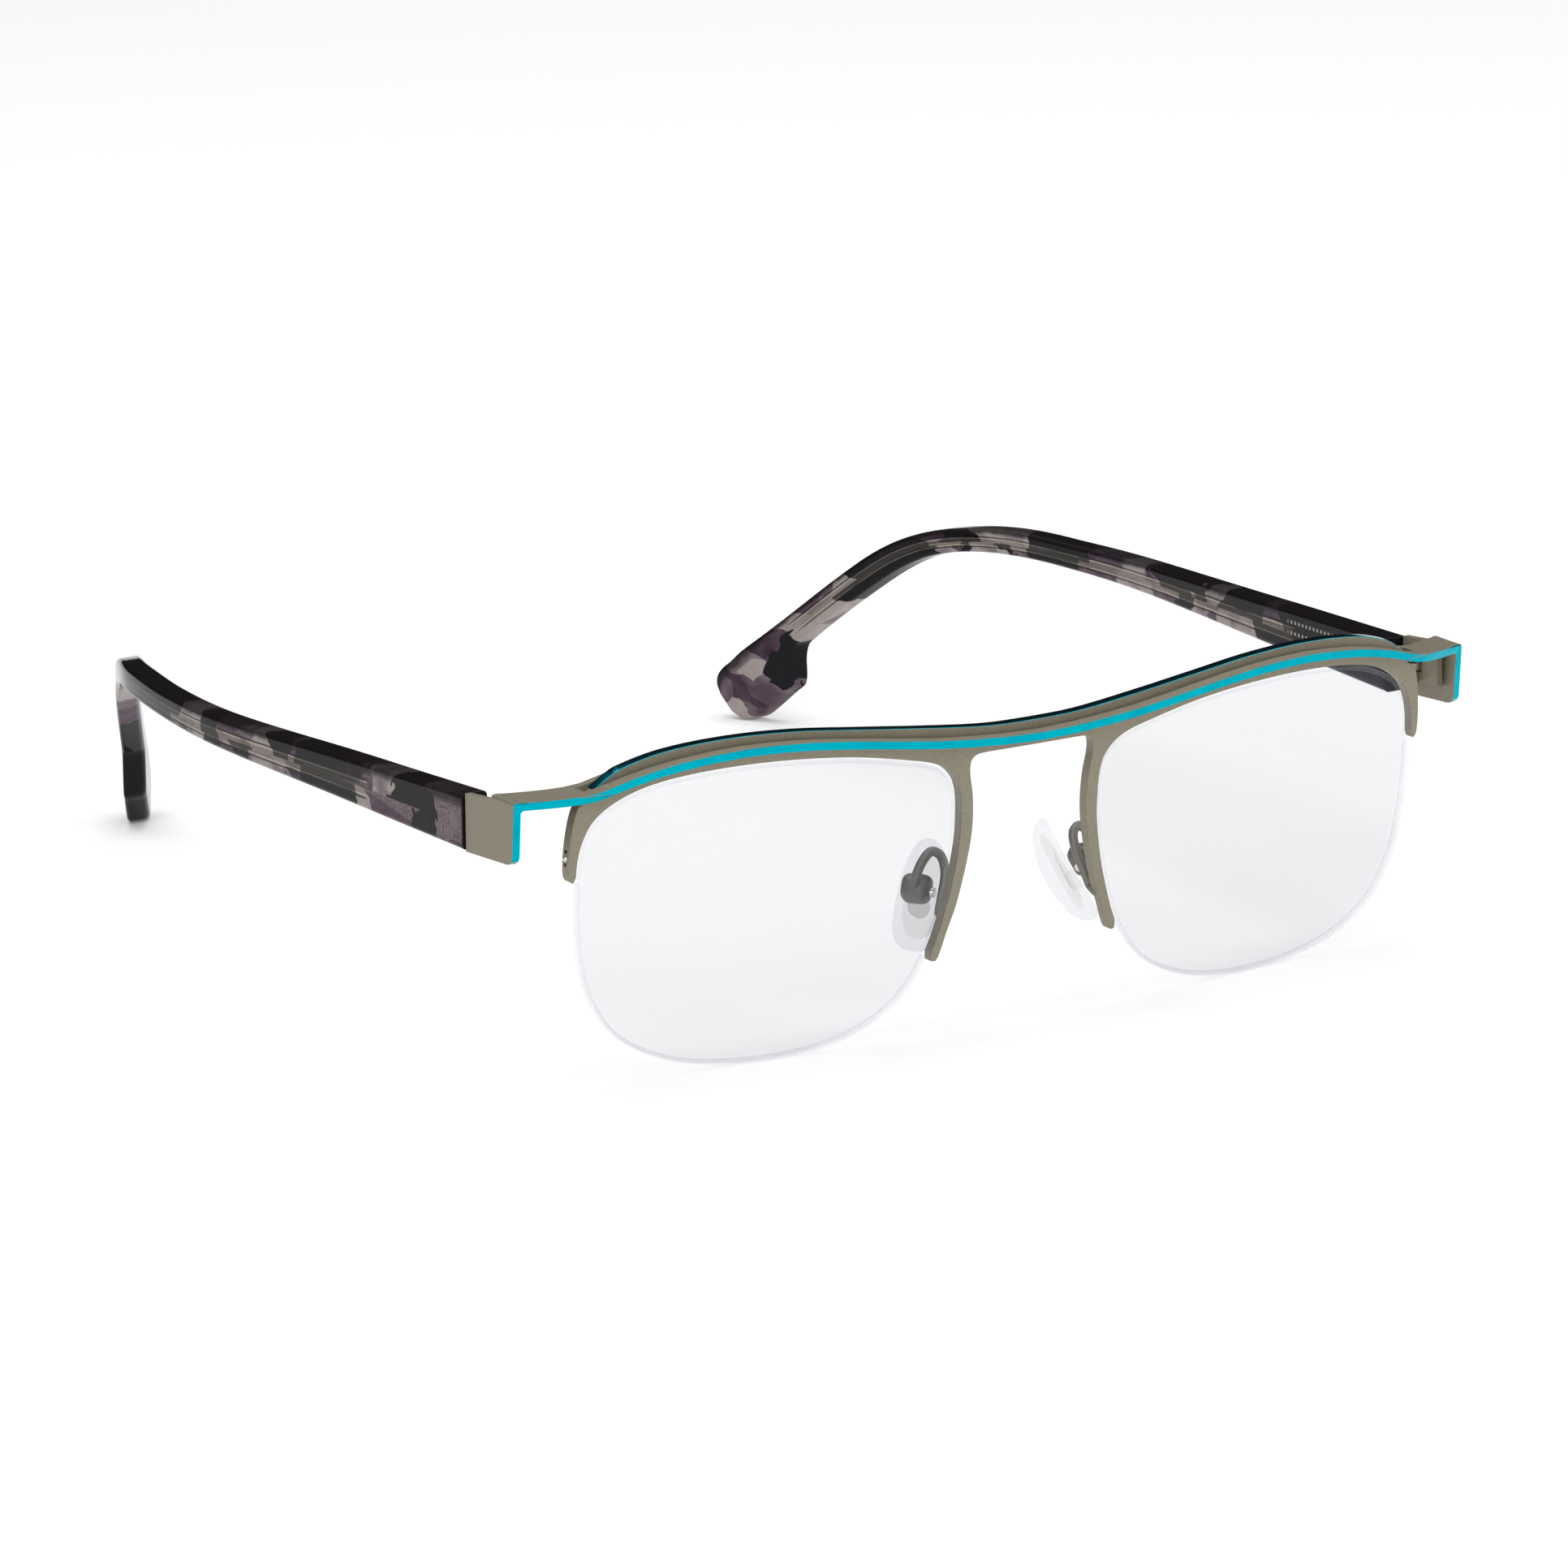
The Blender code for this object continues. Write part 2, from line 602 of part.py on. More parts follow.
def make_front_hinge(side, word, home, cutters):
    """A leaf on the side plate's inner face with an upper and a lower knuckle."""
    centre = (HINGE_X, HINGE_Y)
    inner = SIDE_X - SIDE_THICKNESS
    bm = box(
        (HINGE_LEAF_INNER, HINGE_LEAF_FRONT, HINGE_BOTTOM + 0.1),
        (inner - GAP, HINGE_Y + 0.1, HINGE_TOP - 0.1),
    )
    barrel = cylinder(KNUCKLE_RADIUS, HINGE_BOTTOM, HINGE_TOP, centre=centre)
    bm = combine(bm, barrel, "UNION", cutters)
    middle = cylinder(KNUCKLE_ROOM, MIDDLE_BOTTOM - GAP, MIDDLE_TOP + GAP, centre=centre)
    bm = combine(bm, middle, "DIFFERENCE", cutters)
    hole = cylinder(PIN_HOLE, *PAST_HINGE, sides=16, centre=centre)
    bm = combine(bm, hole, "DIFFERENCE", cutters)
    return place_part(reflect(bm, side), "front_hinge_" + word, "khaki_metal", home)


def make_hinge_screw(side, word, home, cutters):
    centre = (HINGE_X, HINGE_Y)
    shank = cylinder(PIN_RADIUS, HINGE_BOTTOM - 0.1, HINGE_TOP + 0.5, sides=16, centre=centre)
    top = HINGE_TOP + SCREW_HEAD_TOP
    head = cylinder(SCREW_HEAD_RADIUS, HINGE_TOP + GAP, top, sides=16, centre=centre)
    bm = combine(shank, head, "UNION", cutters)
    return place_part(reflect(bm, side), "hinge_screw_" + word, "screw_steel", home)


def leaf_outline():
    """The hinge leaf inside the temple, seen from the side."""
    start = TEMPLE_FRONT + 0.4
    low_front, low, high, high_front = LEAF_HEIGHTS
    tail = LEAF_END - GAP
    return [
        (start, low_front), (LEAF_WIDEST, low), (tail, 31.0), (tail, 32.2),
        (LEAF_WIDEST, high), (start, high_front),
    ]


def wire_edges(margin):
    """Upper and lower edge of the core wire behind the leaf, with an optional margin."""
    path = smooth_path(CORE_LINE, 3)
    path[-1] += (path[-1] - path[-2]).normalized() * margin
    edges = []
    for i, point in enumerate(path):
        run = path[min(i + 1, len(path) - 1)] - path[max(i - 1, 0)]
        normal = Vector((-run.y, run.x)).normalized() * (WIRE_HALF + margin)
        edges.append((point + normal, point - normal))
    return edges


def side_loft(edges, outer, inner, chamfer=0.0):
    """A bent bar whose upper and lower edges, seen from the side, are given in pairs."""
    rings = []
    for top, bottom in edges:
        up = (Vector(top) - Vector(bottom)).normalized() * chamfer
        corners = [(outer, bottom, up), (outer, top, -up), (inner, top, -up), (inner, bottom, up)]
        ring = []
        for x, place, inset in corners:
            away = math.copysign(chamfer, x - (outer + inner) / 2)
            on_side = (x, *(Vector(place) + inset))
            on_edge = (x - away, *place)
            pair = [on_edge, on_side] if len(ring) % 4 == 0 else [on_side, on_edge]
            ring += pair if chamfer else [on_side]
        rings.append([bend_temple(Vector(p)) for p in ring])
    return ring_solid(rings)


def make_temple(side, word, home, cutters, pivot):
    """Acetate, chamfered along its length, with an open channel for the metal."""
    tops = smooth_path([top for top, bottom in TEMPLE_SIDE], 2)
    bottoms = smooth_path([bottom for top, bottom in TEMPLE_SIDE], 2)
    bm = side_loft(zip(tops, bottoms), 0, -TEMPLE_THICKNESS, TEMPLE_CHAMFER)
    outer = -(TEMPLE_THICKNESS - CORE_THICKNESS) / 2 + GAP
    inner = outer - CORE_THICKNESS - 2 * GAP
    low_front, low, high, high_front = LEAF_HEIGHTS
    mouth = TEMPLE_FRONT - 1
    room = [((mouth, high_front + GAP), (mouth, low_front - GAP))]
    room += [((LEAF_WIDEST, high + GAP), (LEAF_WIDEST, low - GAP))] + wire_edges(GAP)
    bm = combine(bm, side_loft(room, outer, inner), "DIFFERENCE", cutters)
    way_in = box(
        (60, TEMPLE_FRONT - 1, MIDDLE_BOTTOM - GAP),
        (TEMPLE_PLAN[1][1] + (inner + outer) / 2, TANG_END + 0.4, MIDDLE_TOP + GAP),
    )
    bm = combine(bm, way_in, "DIFFERENCE", cutters)
    place = pivot["place"]
    return place_part(reflect(bm, side), "temple_" + word, "dark_acetate", home, pivot, place)


def make_temple_core(side, word, home, pivot):
    outer = -(TEMPLE_THICKNESS - CORE_THICKNESS) / 2
    bm = side_loft(wire_edges(0), outer, outer - CORE_THICKNESS)
    place = pivot["place"]
    return place_part(reflect(bm, side), "temple_core_" + word, "core_metal", home, pivot, place)


def make_temple_hinge(side, word, home, cutters, pivot):
    """The middle knuckle, its tang, and the leaf that is buried in the temple."""
    outer = -(TEMPLE_THICKNESS - CORE_THICKNESS) / 2
    leaf = prism(leaf_outline(), outer - CORE_THICKNESS, outer, "YZ")
    slice_up(leaf, 1, [24, 31, 38])
    for vertex in leaf.verts:
        vertex.co = bend_temple(vertex.co)
    tang = prism([(x, -y) for x, y in TANG], MIDDLE_BOTTOM, MIDDLE_TOP, "XZ")
    tang.transform(Matrix.Rotation(math.pi / 2, 4, "X"))
    knuckle = cylinder(KNUCKLE_RADIUS, MIDDLE_BOTTOM, MIDDLE_TOP, centre=(HINGE_X, HINGE_Y))
    bm = combine(tang, knuckle, "UNION", cutters)
    bm = combine(leaf, bm, "UNION", cutters)
    hole = cylinder(PIN_HOLE, *PAST_HINGE, sides=16, centre=(HINGE_X, HINGE_Y))
    bm = combine(bm, hole, "DIFFERENCE", cutters)
    place = pivot["place"]
    return place_part(reflect(bm, side), "temple_hinge_" + word, "core_metal", home, pivot, place)


def lift_of_hinge():
    return (MIDDLE_BOTTOM + MIDDLE_TOP) / 2


def main():
    clear_scene()
    home = make_collection(OBJECT_NAME)
    cutters = make_collection("cutters")
    make_front_plate(home)
    make_brow_ribbon(home, cutters)
    for side, word in ((1, "left"), (-1, "right")):
        make_lens(side, word, home)
        make_cord(side, word, home)
        make_pad_arm(side, word, home)
        make_pad_box(side, word, home, cutters)
        make_pad_screw(side, word, home, cutters)
        rock = axis_empty("pad_pivot_" + word, (side * PAD_PIVOT.x, *PAD_PIVOT.yz), home)
        make_pad_insert(side, word, home, cutters, rock)
        make_nose_pad(side, word, home, cutters, rock)
        make_front_hinge(side, word, home, cutters)
        make_hinge_screw(side, word, home, cutters)
        fold = axis_empty("fold_axis_" + word, (side * HINGE_X, HINGE_Y, lift_of_hinge()), home)
        make_temple(side, word, home, cutters, fold)
        make_temple_core(side, word, home, fold)
        make_temple_hinge(side, word, home, cutters, fold)


main()
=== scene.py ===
import math

import bmesh
import bpy
from mathutils import Matrix, Vector


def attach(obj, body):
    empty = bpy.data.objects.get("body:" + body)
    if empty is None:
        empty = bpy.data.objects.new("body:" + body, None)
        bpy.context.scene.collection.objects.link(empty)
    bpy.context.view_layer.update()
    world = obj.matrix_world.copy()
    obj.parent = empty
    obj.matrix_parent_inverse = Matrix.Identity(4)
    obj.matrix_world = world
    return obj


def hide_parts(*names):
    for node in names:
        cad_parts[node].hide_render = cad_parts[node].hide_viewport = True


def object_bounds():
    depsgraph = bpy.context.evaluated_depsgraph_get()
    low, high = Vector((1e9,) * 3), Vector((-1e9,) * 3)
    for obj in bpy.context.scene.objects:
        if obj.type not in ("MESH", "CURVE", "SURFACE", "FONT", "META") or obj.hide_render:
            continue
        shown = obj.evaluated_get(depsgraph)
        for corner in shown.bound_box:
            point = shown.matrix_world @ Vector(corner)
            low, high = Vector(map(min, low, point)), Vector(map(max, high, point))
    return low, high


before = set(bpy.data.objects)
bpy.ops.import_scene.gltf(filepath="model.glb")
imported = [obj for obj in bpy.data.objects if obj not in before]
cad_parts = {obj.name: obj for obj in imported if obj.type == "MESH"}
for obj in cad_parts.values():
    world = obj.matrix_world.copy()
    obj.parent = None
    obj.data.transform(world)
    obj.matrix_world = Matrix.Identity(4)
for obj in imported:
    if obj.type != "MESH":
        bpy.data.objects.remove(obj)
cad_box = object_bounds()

MM = 0.001
FRONT_Y = -74.6          # the bridge's front face; outlines below are measured from it

# ---------------------------------------------------------------- sizes in millimetres
GAP = 0.3
CURVE_RADIUS = 313.2
CURVE_EASE = 1.99e-8
TILT = math.tan(math.radians(4.56))
TILT_Z = 36.0
PLATE_THICKNESS = 1.6
LENS_THICKNESS = 1.8
LENS_SETBACK = -0.1
LENS_BEVEL = 0.12
GROOVE_HALF = 0.45
GROOVE_DEPTH = 0.6
CORD_RADIUS = 0.25
CORD_INSET = 0.28
CORD_END_NOSE = 10.4
CORD_END_OUTER = 26.6
RIBBON_LEAD = 2.3
SIDE_X = 70.0
SIDE_THICKNESS = 0.95
SIDE_DEPTH = 11.7
SWEEP_START = 60.5
SWEEP = 2.2
TEMPLE_FRONT = 19.3
TEMPLE_THICKNESS = 3.7
PADDLE_THICKNESS = 3.5
CORE_THICKNESS = 1.2
CORE_HALF = 0.65
PAD_PIVOT = Vector((12.2, 7.9, 17.2))
PAD_DOWN = Vector((0.374, -0.302, -0.877)).normalized()
PAD_FACE = Vector((-0.685, 0.547, -0.481)).normalized()
PAD_BOX_BACK = 1.8
PAD_ARM_RADIUS = 0.6
PLATE_ROUND = 0.16
TEMPLE_CORNER = 0.75
PAD_HALF = (3.4, 7.2)
INSERT_HALF = (2.3, 5.4)

# the cord's bead and dark tips on the outer arm's edge: names, heights, how far each stands
# out of the edge, and radii
ARM_EDGE = 62.75
CORD_BEAD = ("cord_knob_", 29.4, 0.08, 0.42)
CORD_TIPS = (("cord_tip_upper_", 30.25, 0.0, 0.26), ("cord_tip_lower_", 28.55, 0.0, 0.26))

LENS_POINTS = [
    (10.35, 27.0), (10.9, 32.3), (13.2, 34.8), (18.0, 36.25), (27.0, 37.85), (38.0, 38.55),
    (48.0, 38.15), (54.6, 36.8), (59.2, 34.1), (61.1, 30.3), (61.5, 25.0), (61.15, 18.0),
    (59.5, 11.0), (55.3, 5.0), (47.0, 1.1), (35.0, 0.0), (25.4, 1.25), (18.5, 4.7),
    (14.3, 10.2), (11.9, 17.0), (10.75, 22.5),
]
RIM_END_NOSE = 10.6
RIM_END_OUTER = 27.0
BROW_TOP = [
    (-2.0, 39.35), (6.4, 39.5), (15.7, 40.45), (24.8, 41.5), (33.6, 42.4), (42.3, 42.6),
    (50.7, 41.9), (56.5, 40.35), (58.4, 39.2),
]
OUTER_ARM = [
    (59.9, 38.0), (60.5, 36.6), (61.6, 36.1), (62.2, 34.5), (62.6, 32.0), (62.8, 29.5),
    (62.75, 27.3), (62.5, 26.5), (62.1, 26.25),
]
NOSE_ARM = [
    (13.6, 9.7), (12.9, 9.7), (12.3, 10.9), (11.5, 13.3), (10.3, 16.6), (9.1, 21.6),
    (8.4, 26.3), (8.5, 30.6), (9.0, 33.6), (8.9, 35.2), (8.1, 35.9), (6.5, 36.05),
]
BRIDGE_BOTTOM = (-2.0, 36.0)
RIBBON_BOTTOM = [
    (-2.0, 37.15), (5.4, 37.35), (14.7, 38.1), (23.8, 39.3), (32.7, 40.3), (41.4, 40.55),
    (49.8, 39.8), (56.0, 38.5), (60.1, 37.25), (64.0, 36.7), (68.4, 36.4),
]
TEMPLE_SIDE = [
    ((TEMPLE_FRONT, 35.9), (TEMPLE_FRONT, 28.7)), ((32.0, 35.3), (32.0, 28.75)),
    ((45.0, 34.7), (45.0, 28.8)), ((75.0, 33.2), (75.0, 28.9)), ((95.0, 32.6), (94.0, 29.0)),
    ((108.0, 32.3), (106.0, 28.9)), ((118.0, 31.0), (115.5, 28.1)),
    ((125.0, 28.6), (122.0, 26.2)), ((131.0, 24.6), (128.4, 22.0)),
    ((143.3, 13.2), (139.6, 11.7)), ((144.6, 12.0), (140.3, 9.6)), ((147.2, 9.6), (140.4, 5.6)),
    ((148.5, 8.1), (141.6, 4.2)), ((149.6, 7.0), (144.8, 0.8)), ((150.2, 6.0), (145.8, 0.1)),
    ((150.3, 5.0), (146.8, 0.0)), ((149.9, 3.8), (147.8, 0.6)),
]
TEMPLE_PLAN = [
    (0.0, 69.6), (19.3, 70.3), (35.0, 71.0), (50.0, 71.6), (78.0, 72.9), (92.0, 72.2),
    (108.0, 69.5), (119.0, 65.4), (130.4, 59.8), (152.0, 47.0),
]
CORE_LINE = [
    (42.0, 31.6), (75.0, 30.9), (100.0, 30.7), (112.0, 30.0), (122.0, 27.6),
    (130.0, 22.7), (139.5, 13.7),
]

# Chips of the acetate above and below the core: where each begins along the temple, and how
# light it is
BLACK = 0.0
DARK = 0.3
PURPLE = 0.62
PALE = 1.0
CHIPS_LEFT = (
    [(0, BLACK), (24, PURPLE), (29, BLACK), (40, PALE), (44, DARK), (48, BLACK), (56, PURPLE),
     (59, PALE), (66, PURPLE), (72, DARK), (75, BLACK), (84, PALE), (93, BLACK), (96, DARK),
     (101, BLACK), (114, PALE), (118, PURPLE), (122, PALE), (127, PURPLE), (133, PALE),
     (136, PURPLE)],
    [(0, BLACK), (32, PALE), (40, PURPLE), (43, PALE), (47, BLACK), (51, PURPLE), (57, PALE),
     (66, PURPLE), (75, BLACK), (84, PURPLE), (88, BLACK), (90, PALE), (94, BLACK),
     (96, PURPLE), (98, PALE), (101, BLACK), (118, PALE), (125, BLACK), (134, PURPLE),
     (139, PALE)],
)
CHIPS_RIGHT = (
    [(0, PURPLE), (5, BLACK), (16, PALE), (20, PURPLE), (23, DARK), (27, BLACK), (39, PURPLE),
     (41, BLACK), (44, PALE), (49, PURPLE), (57, BLACK), (62, PALE), (68, BLACK), (100, PURPLE),
     (104, PALE), (111, PURPLE), (118, BLACK)],
    [(0, PURPLE), (5, BLACK), (10, PURPLE), (22, PALE), (25, BLACK), (38, PURPLE), (41, PALE),
     (49, BLACK), (55, PURPLE), (57, BLACK), (62, PALE), (67, PURPLE), (72, BLACK),
     (100, PURPLE), (104, PALE), (111, PURPLE), (118, BLACK)],
)
CHIP_SPAN = 150.0        # longer than any temple

# Marks in the acetate: places along the temple where each fades in and out, in millimetres,
# and heights from -1 at the lower edge to 1 at the upper one
CORE_DROP = 0.07         # how far the core lies below the middle
CORE_SHOWS = (21.5, 23.0, 124.0, 127.0)
CORE_EDGE = 0.28
CORE_SHADOW = 0.40
TIP_STARTS = (118, 128)  # from here on the chips above and below run into each other
LEAF_DROP = 0.12
LEAF_POINT = 22.7
LEAF_TAPER = 12.0
LEAF_HALF = 0.64
TEETH_SHOW = (8.0, 9.0, 23.0, 24.0)
TEETH_UPPER = 0.46
TEETH_LOWER = -0.02
TEETH_PACE = 7.0         # radians per millimetre
# painted shade at the front end, where the temple meets the side plate
END_SHADE = (0.05, 0.22)

PAD_ARM_ROUTE = [
    (11.2, 4.35, 15.2), (10.6, 4.6, 17.0), (9.7, 5.2, 19.8), (9.8, 6.0, 21.8),
    (10.9, 6.4, 22.5), (12.2, 6.4, 21.5), (13.1, 6.4, 19.9),
]


# ---------------------------------------------------------------- curves and bends

def smooth_path(points, steps, closed=False):
    """Points along a chord-length Catmull-Rom curve through the given points."""
    knots = [Vector(p) for p in points]
    count = len(knots)

    def knot(index):
        return knots[index % count] if closed else knots[min(max(index, 0), count - 1)]

    path = []
    for i in range(count if closed else count - 1):
        before, start, end, after = (knot(i + k) for k in (-1, 0, 1, 2))
        span = (end - start).length
        slope_in = (end - before) * (span / max((start - before).length + span, 1e-9))
        slope_out = (after - start) * (span / max((after - end).length + span, 1e-9))
        for k in range(steps):
            t = k / steps
            path.append(
                start * (2 * t**3 - 3 * t**2 + 1) + slope_in * (t**3 - 2 * t**2 + t)
                + end * (3 * t**2 - 2 * t**3) + slope_out * (t**3 - t**2)
            )
    if not closed:
        path.append(knots[-1].copy())
    return path


def along(points, value):
    """Height of a smooth curve at one place along its first coordinate."""
    path = smooth_path(points, 8)
    for a, b in zip(path, path[1:]):
        if value <= b.x:
            return a.y + (b.y - a.y) * (value - a.x) / (b.x - a.x)
    return path[-1].y


def offset_closed(path, distance):
    """Move a clockwise closed outline outwards."""
    moved = []
    for i, point in enumerate(path):
        run = path[(i + 1) % len(path)] - path[i - 1]
        moved.append(point + Vector((-run.y, run.x)).normalized() * distance)
    return moved


def front_depth(x, z):
    """Y of the plate's front face at one place of the front."""
    return x * x / (2 * CURVE_RADIUS) - CURVE_EASE * x**4 + (TILT_Z - z) * TILT


def bend_plate(point):
    return Vector((point.x, point.y + front_depth(point.x, point.z), point.z))


def ribbon_shift(point, y):
    """How far back the bent ribbon lies, at a depth y in its thickness."""
    part = min(max((abs(point.x) - SWEEP_START) / (SIDE_X - SIDE_THICKNESS - SWEEP_START), 0), 1)
    upright = (TILT_Z - point.z) * TILT * part * y / SIDE_DEPTH
    return front_depth(point.x, point.z) - RIBBON_LEAD + SWEEP * part**1.3 - upright


def bend_temple(point):
    """Flat temples have their outer face at x = 0, grow inwards, and thin out to the tip."""
    thin = min(max((point.y - 90.0) / 50.0, 0), 1)
    scale = 1 + (PADDLE_THICKNESS / TEMPLE_THICKNESS - 1) * thin
    return Vector((along(TEMPLE_PLAN, point.y) + point.x * scale, point.y, point.z))


def pad_frame():
    """Pad directions: local X across the pad, local Y towards the nose, local Z up."""
    up = -PAD_DOWN
    face = (PAD_FACE - PAD_FACE.dot(up) * up).normalized()
    across = face.cross(up).normalized()
    turn = Matrix((across, face, up)).transposed().to_4x4()
    return Matrix.Translation(PAD_PIVOT) @ turn


# ---------------------------------------------------------------- mesh helpers

def piece(bm, name, materials, body, nodes=(), side=1, sharp=40, weighted=True):
    """Turn a mesh in millimetres into a piece that rides on a body."""
    bm.transform(Matrix.Scale(MM, 4) @ Matrix.Translation((0, FRONT_Y, 0)))
    return finish_piece(bm, name, materials, body, nodes, side, sharp, weighted)


def finish_piece(bm, name, materials, body, nodes=(), side=1, sharp=40, weighted=True):
    """Turn a mesh in metres into a piece; side -1 mirrors it to the wearer's right."""
    if side < 0:
        bm.transform(Matrix.Diagonal((-1, 1, 1, 1)))
        bmesh.ops.reverse_faces(bm, faces=bm.faces)
    mesh = bpy.data.meshes.new(name)
    bm.to_mesh(mesh)
    bm.free()
    mesh.shade_smooth()
    if sharp:
        mesh.set_sharp_from_angle(angle=math.radians(sharp))
    for item in materials:
        mesh.materials.append(item)
    made = bpy.data.objects.new(name, mesh)
    bpy.context.scene.collection.objects.link(made)
    if weighted:
        normals = made.modifiers.new("Weighted", "WEIGHTED_NORMAL")
        normals.keep_sharp = True
    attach(made, body)
    if nodes:
        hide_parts(*nodes)
    return made


def clean(bm):
    bmesh.ops.remove_doubles(bm, verts=bm.verts, dist=1e-4)
    bmesh.ops.dissolve_degenerate(bm, edges=bm.edges, dist=1e-4)
    bmesh.ops.recalc_face_normals(bm, faces=bm.faces)


def slab(outline, depth):
    """A closed outline in XZ as a solid from y 0 to depth, with its caps as single faces."""
    bm = bmesh.new()
    front = [bm.verts.new((p[0], 0, p[1])) for p in outline]
    back = [bm.verts.new((p[0], depth, p[1])) for p in outline]
    bm.faces.new(front)
    bm.faces.new(list(reversed(back)))
    for i in range(len(front)):
        j = (i + 1) % len(front)
        bm.faces.new((front[j], front[i], back[i], back[j]))
    clean(bm)
    return bm


def round_edges(bm, width, angle=40):
    """Bevel every edge that is sharper than an angle."""
    limit = math.radians(angle)
    edges = [e for e in bm.edges if e.is_manifold and e.calc_face_angle(0) > limit]
    bmesh.ops.bevel(
        bm, geom=edges, offset=width, offset_type="OFFSET", segments=2, profile=0.5,
        affect="EDGES", clamp_overlap=True,
    )


def slice_up(bm, places):
    """Cut the faces at regular places along X, so that they can bend smoothly."""
    bmesh.ops.triangulate(
        bm, faces=[f for f in bm.faces if len(f.verts) > 4], ngon_method="EAR_CLIP"
    )
    for place in places:
        geometry = list(bm.verts) + list(bm.edges) + list(bm.faces)
        bmesh.ops.bisect_plane(
            bm, geom=geometry, dist=1e-4, plane_co=(place, 0, 0), plane_no=(1, 0, 0)
        )


def ring_solid(rings):
    """A closed skin through equal rings of points."""
    bm = bmesh.new()
    loops = [[bm.verts.new(p) for p in ring] for ring in rings]
    for low, high in zip(loops, loops[1:]):
        for i in range(len(low)):
            j = (i + 1) % len(low)
            bm.faces.new((low[i], low[j], high[j], high[i]))
    for loop in (loops[0], loops[-1]):
        bm.faces.new(loop)
    bmesh.ops.recalc_face_normals(bm, faces=bm.faces)
    return bm


def circle(radius, sides):
    """Points of a circle round the origin, as pairs."""
    turns = (2 * math.pi * k / sides for k in range(sides))
    return [(radius * math.cos(a), radius * math.sin(a)) for a in turns]


def tube_mesh(points, radius, sides):
    """A round wire with domed ends, following the points without twisting."""
    last = len(points) - 1
    domed = ((-0.75, 0.45), (-0.4, 0.85))
    route = [(0, push, size) for push, size in domed]
    route += [(i, 0, 1.0) for i in range(len(points))]
    route += [(last, -push, size) for push, size in reversed(domed)]
    rings = []
    normal = None
    for index, push, size in route:
        run = (points[min(index + 1, last)] - points[max(index - 1, 0)]).normalized()
        if normal is None:
            normal = run.orthogonal().normalized()
        normal = (normal - run * normal.dot(run)).normalized()
        other = run.cross(normal)
        centre = points[index] + run * (push * radius)
        rings.append([centre + normal * c + other * s for c, s in circle(radius * size, sides)])
    return ring_solid(rings)


def refined(node, name, materials, body, width):
    """A finer piece made from a CAD node: welded, with rounded edges."""
    bm = bmesh.new()
    bm.from_mesh(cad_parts[node].data)
    bmesh.ops.remove_doubles(bm, verts=bm.verts, dist=2e-6)
    bmesh.ops.dissolve_limit(
        bm, angle_limit=math.radians(0.4), verts=bm.verts, edges=bm.edges
    )
    for face in bm.faces:
        face.material_index = 0
    round_edges(bm, width * MM)
    bmesh.ops.triangulate(bm, faces=[f for f in bm.faces if len(f.verts) > 4])
    return finish_piece(bm, name, materials, body, (node,))


# ---------------------------------------------------------------- materials

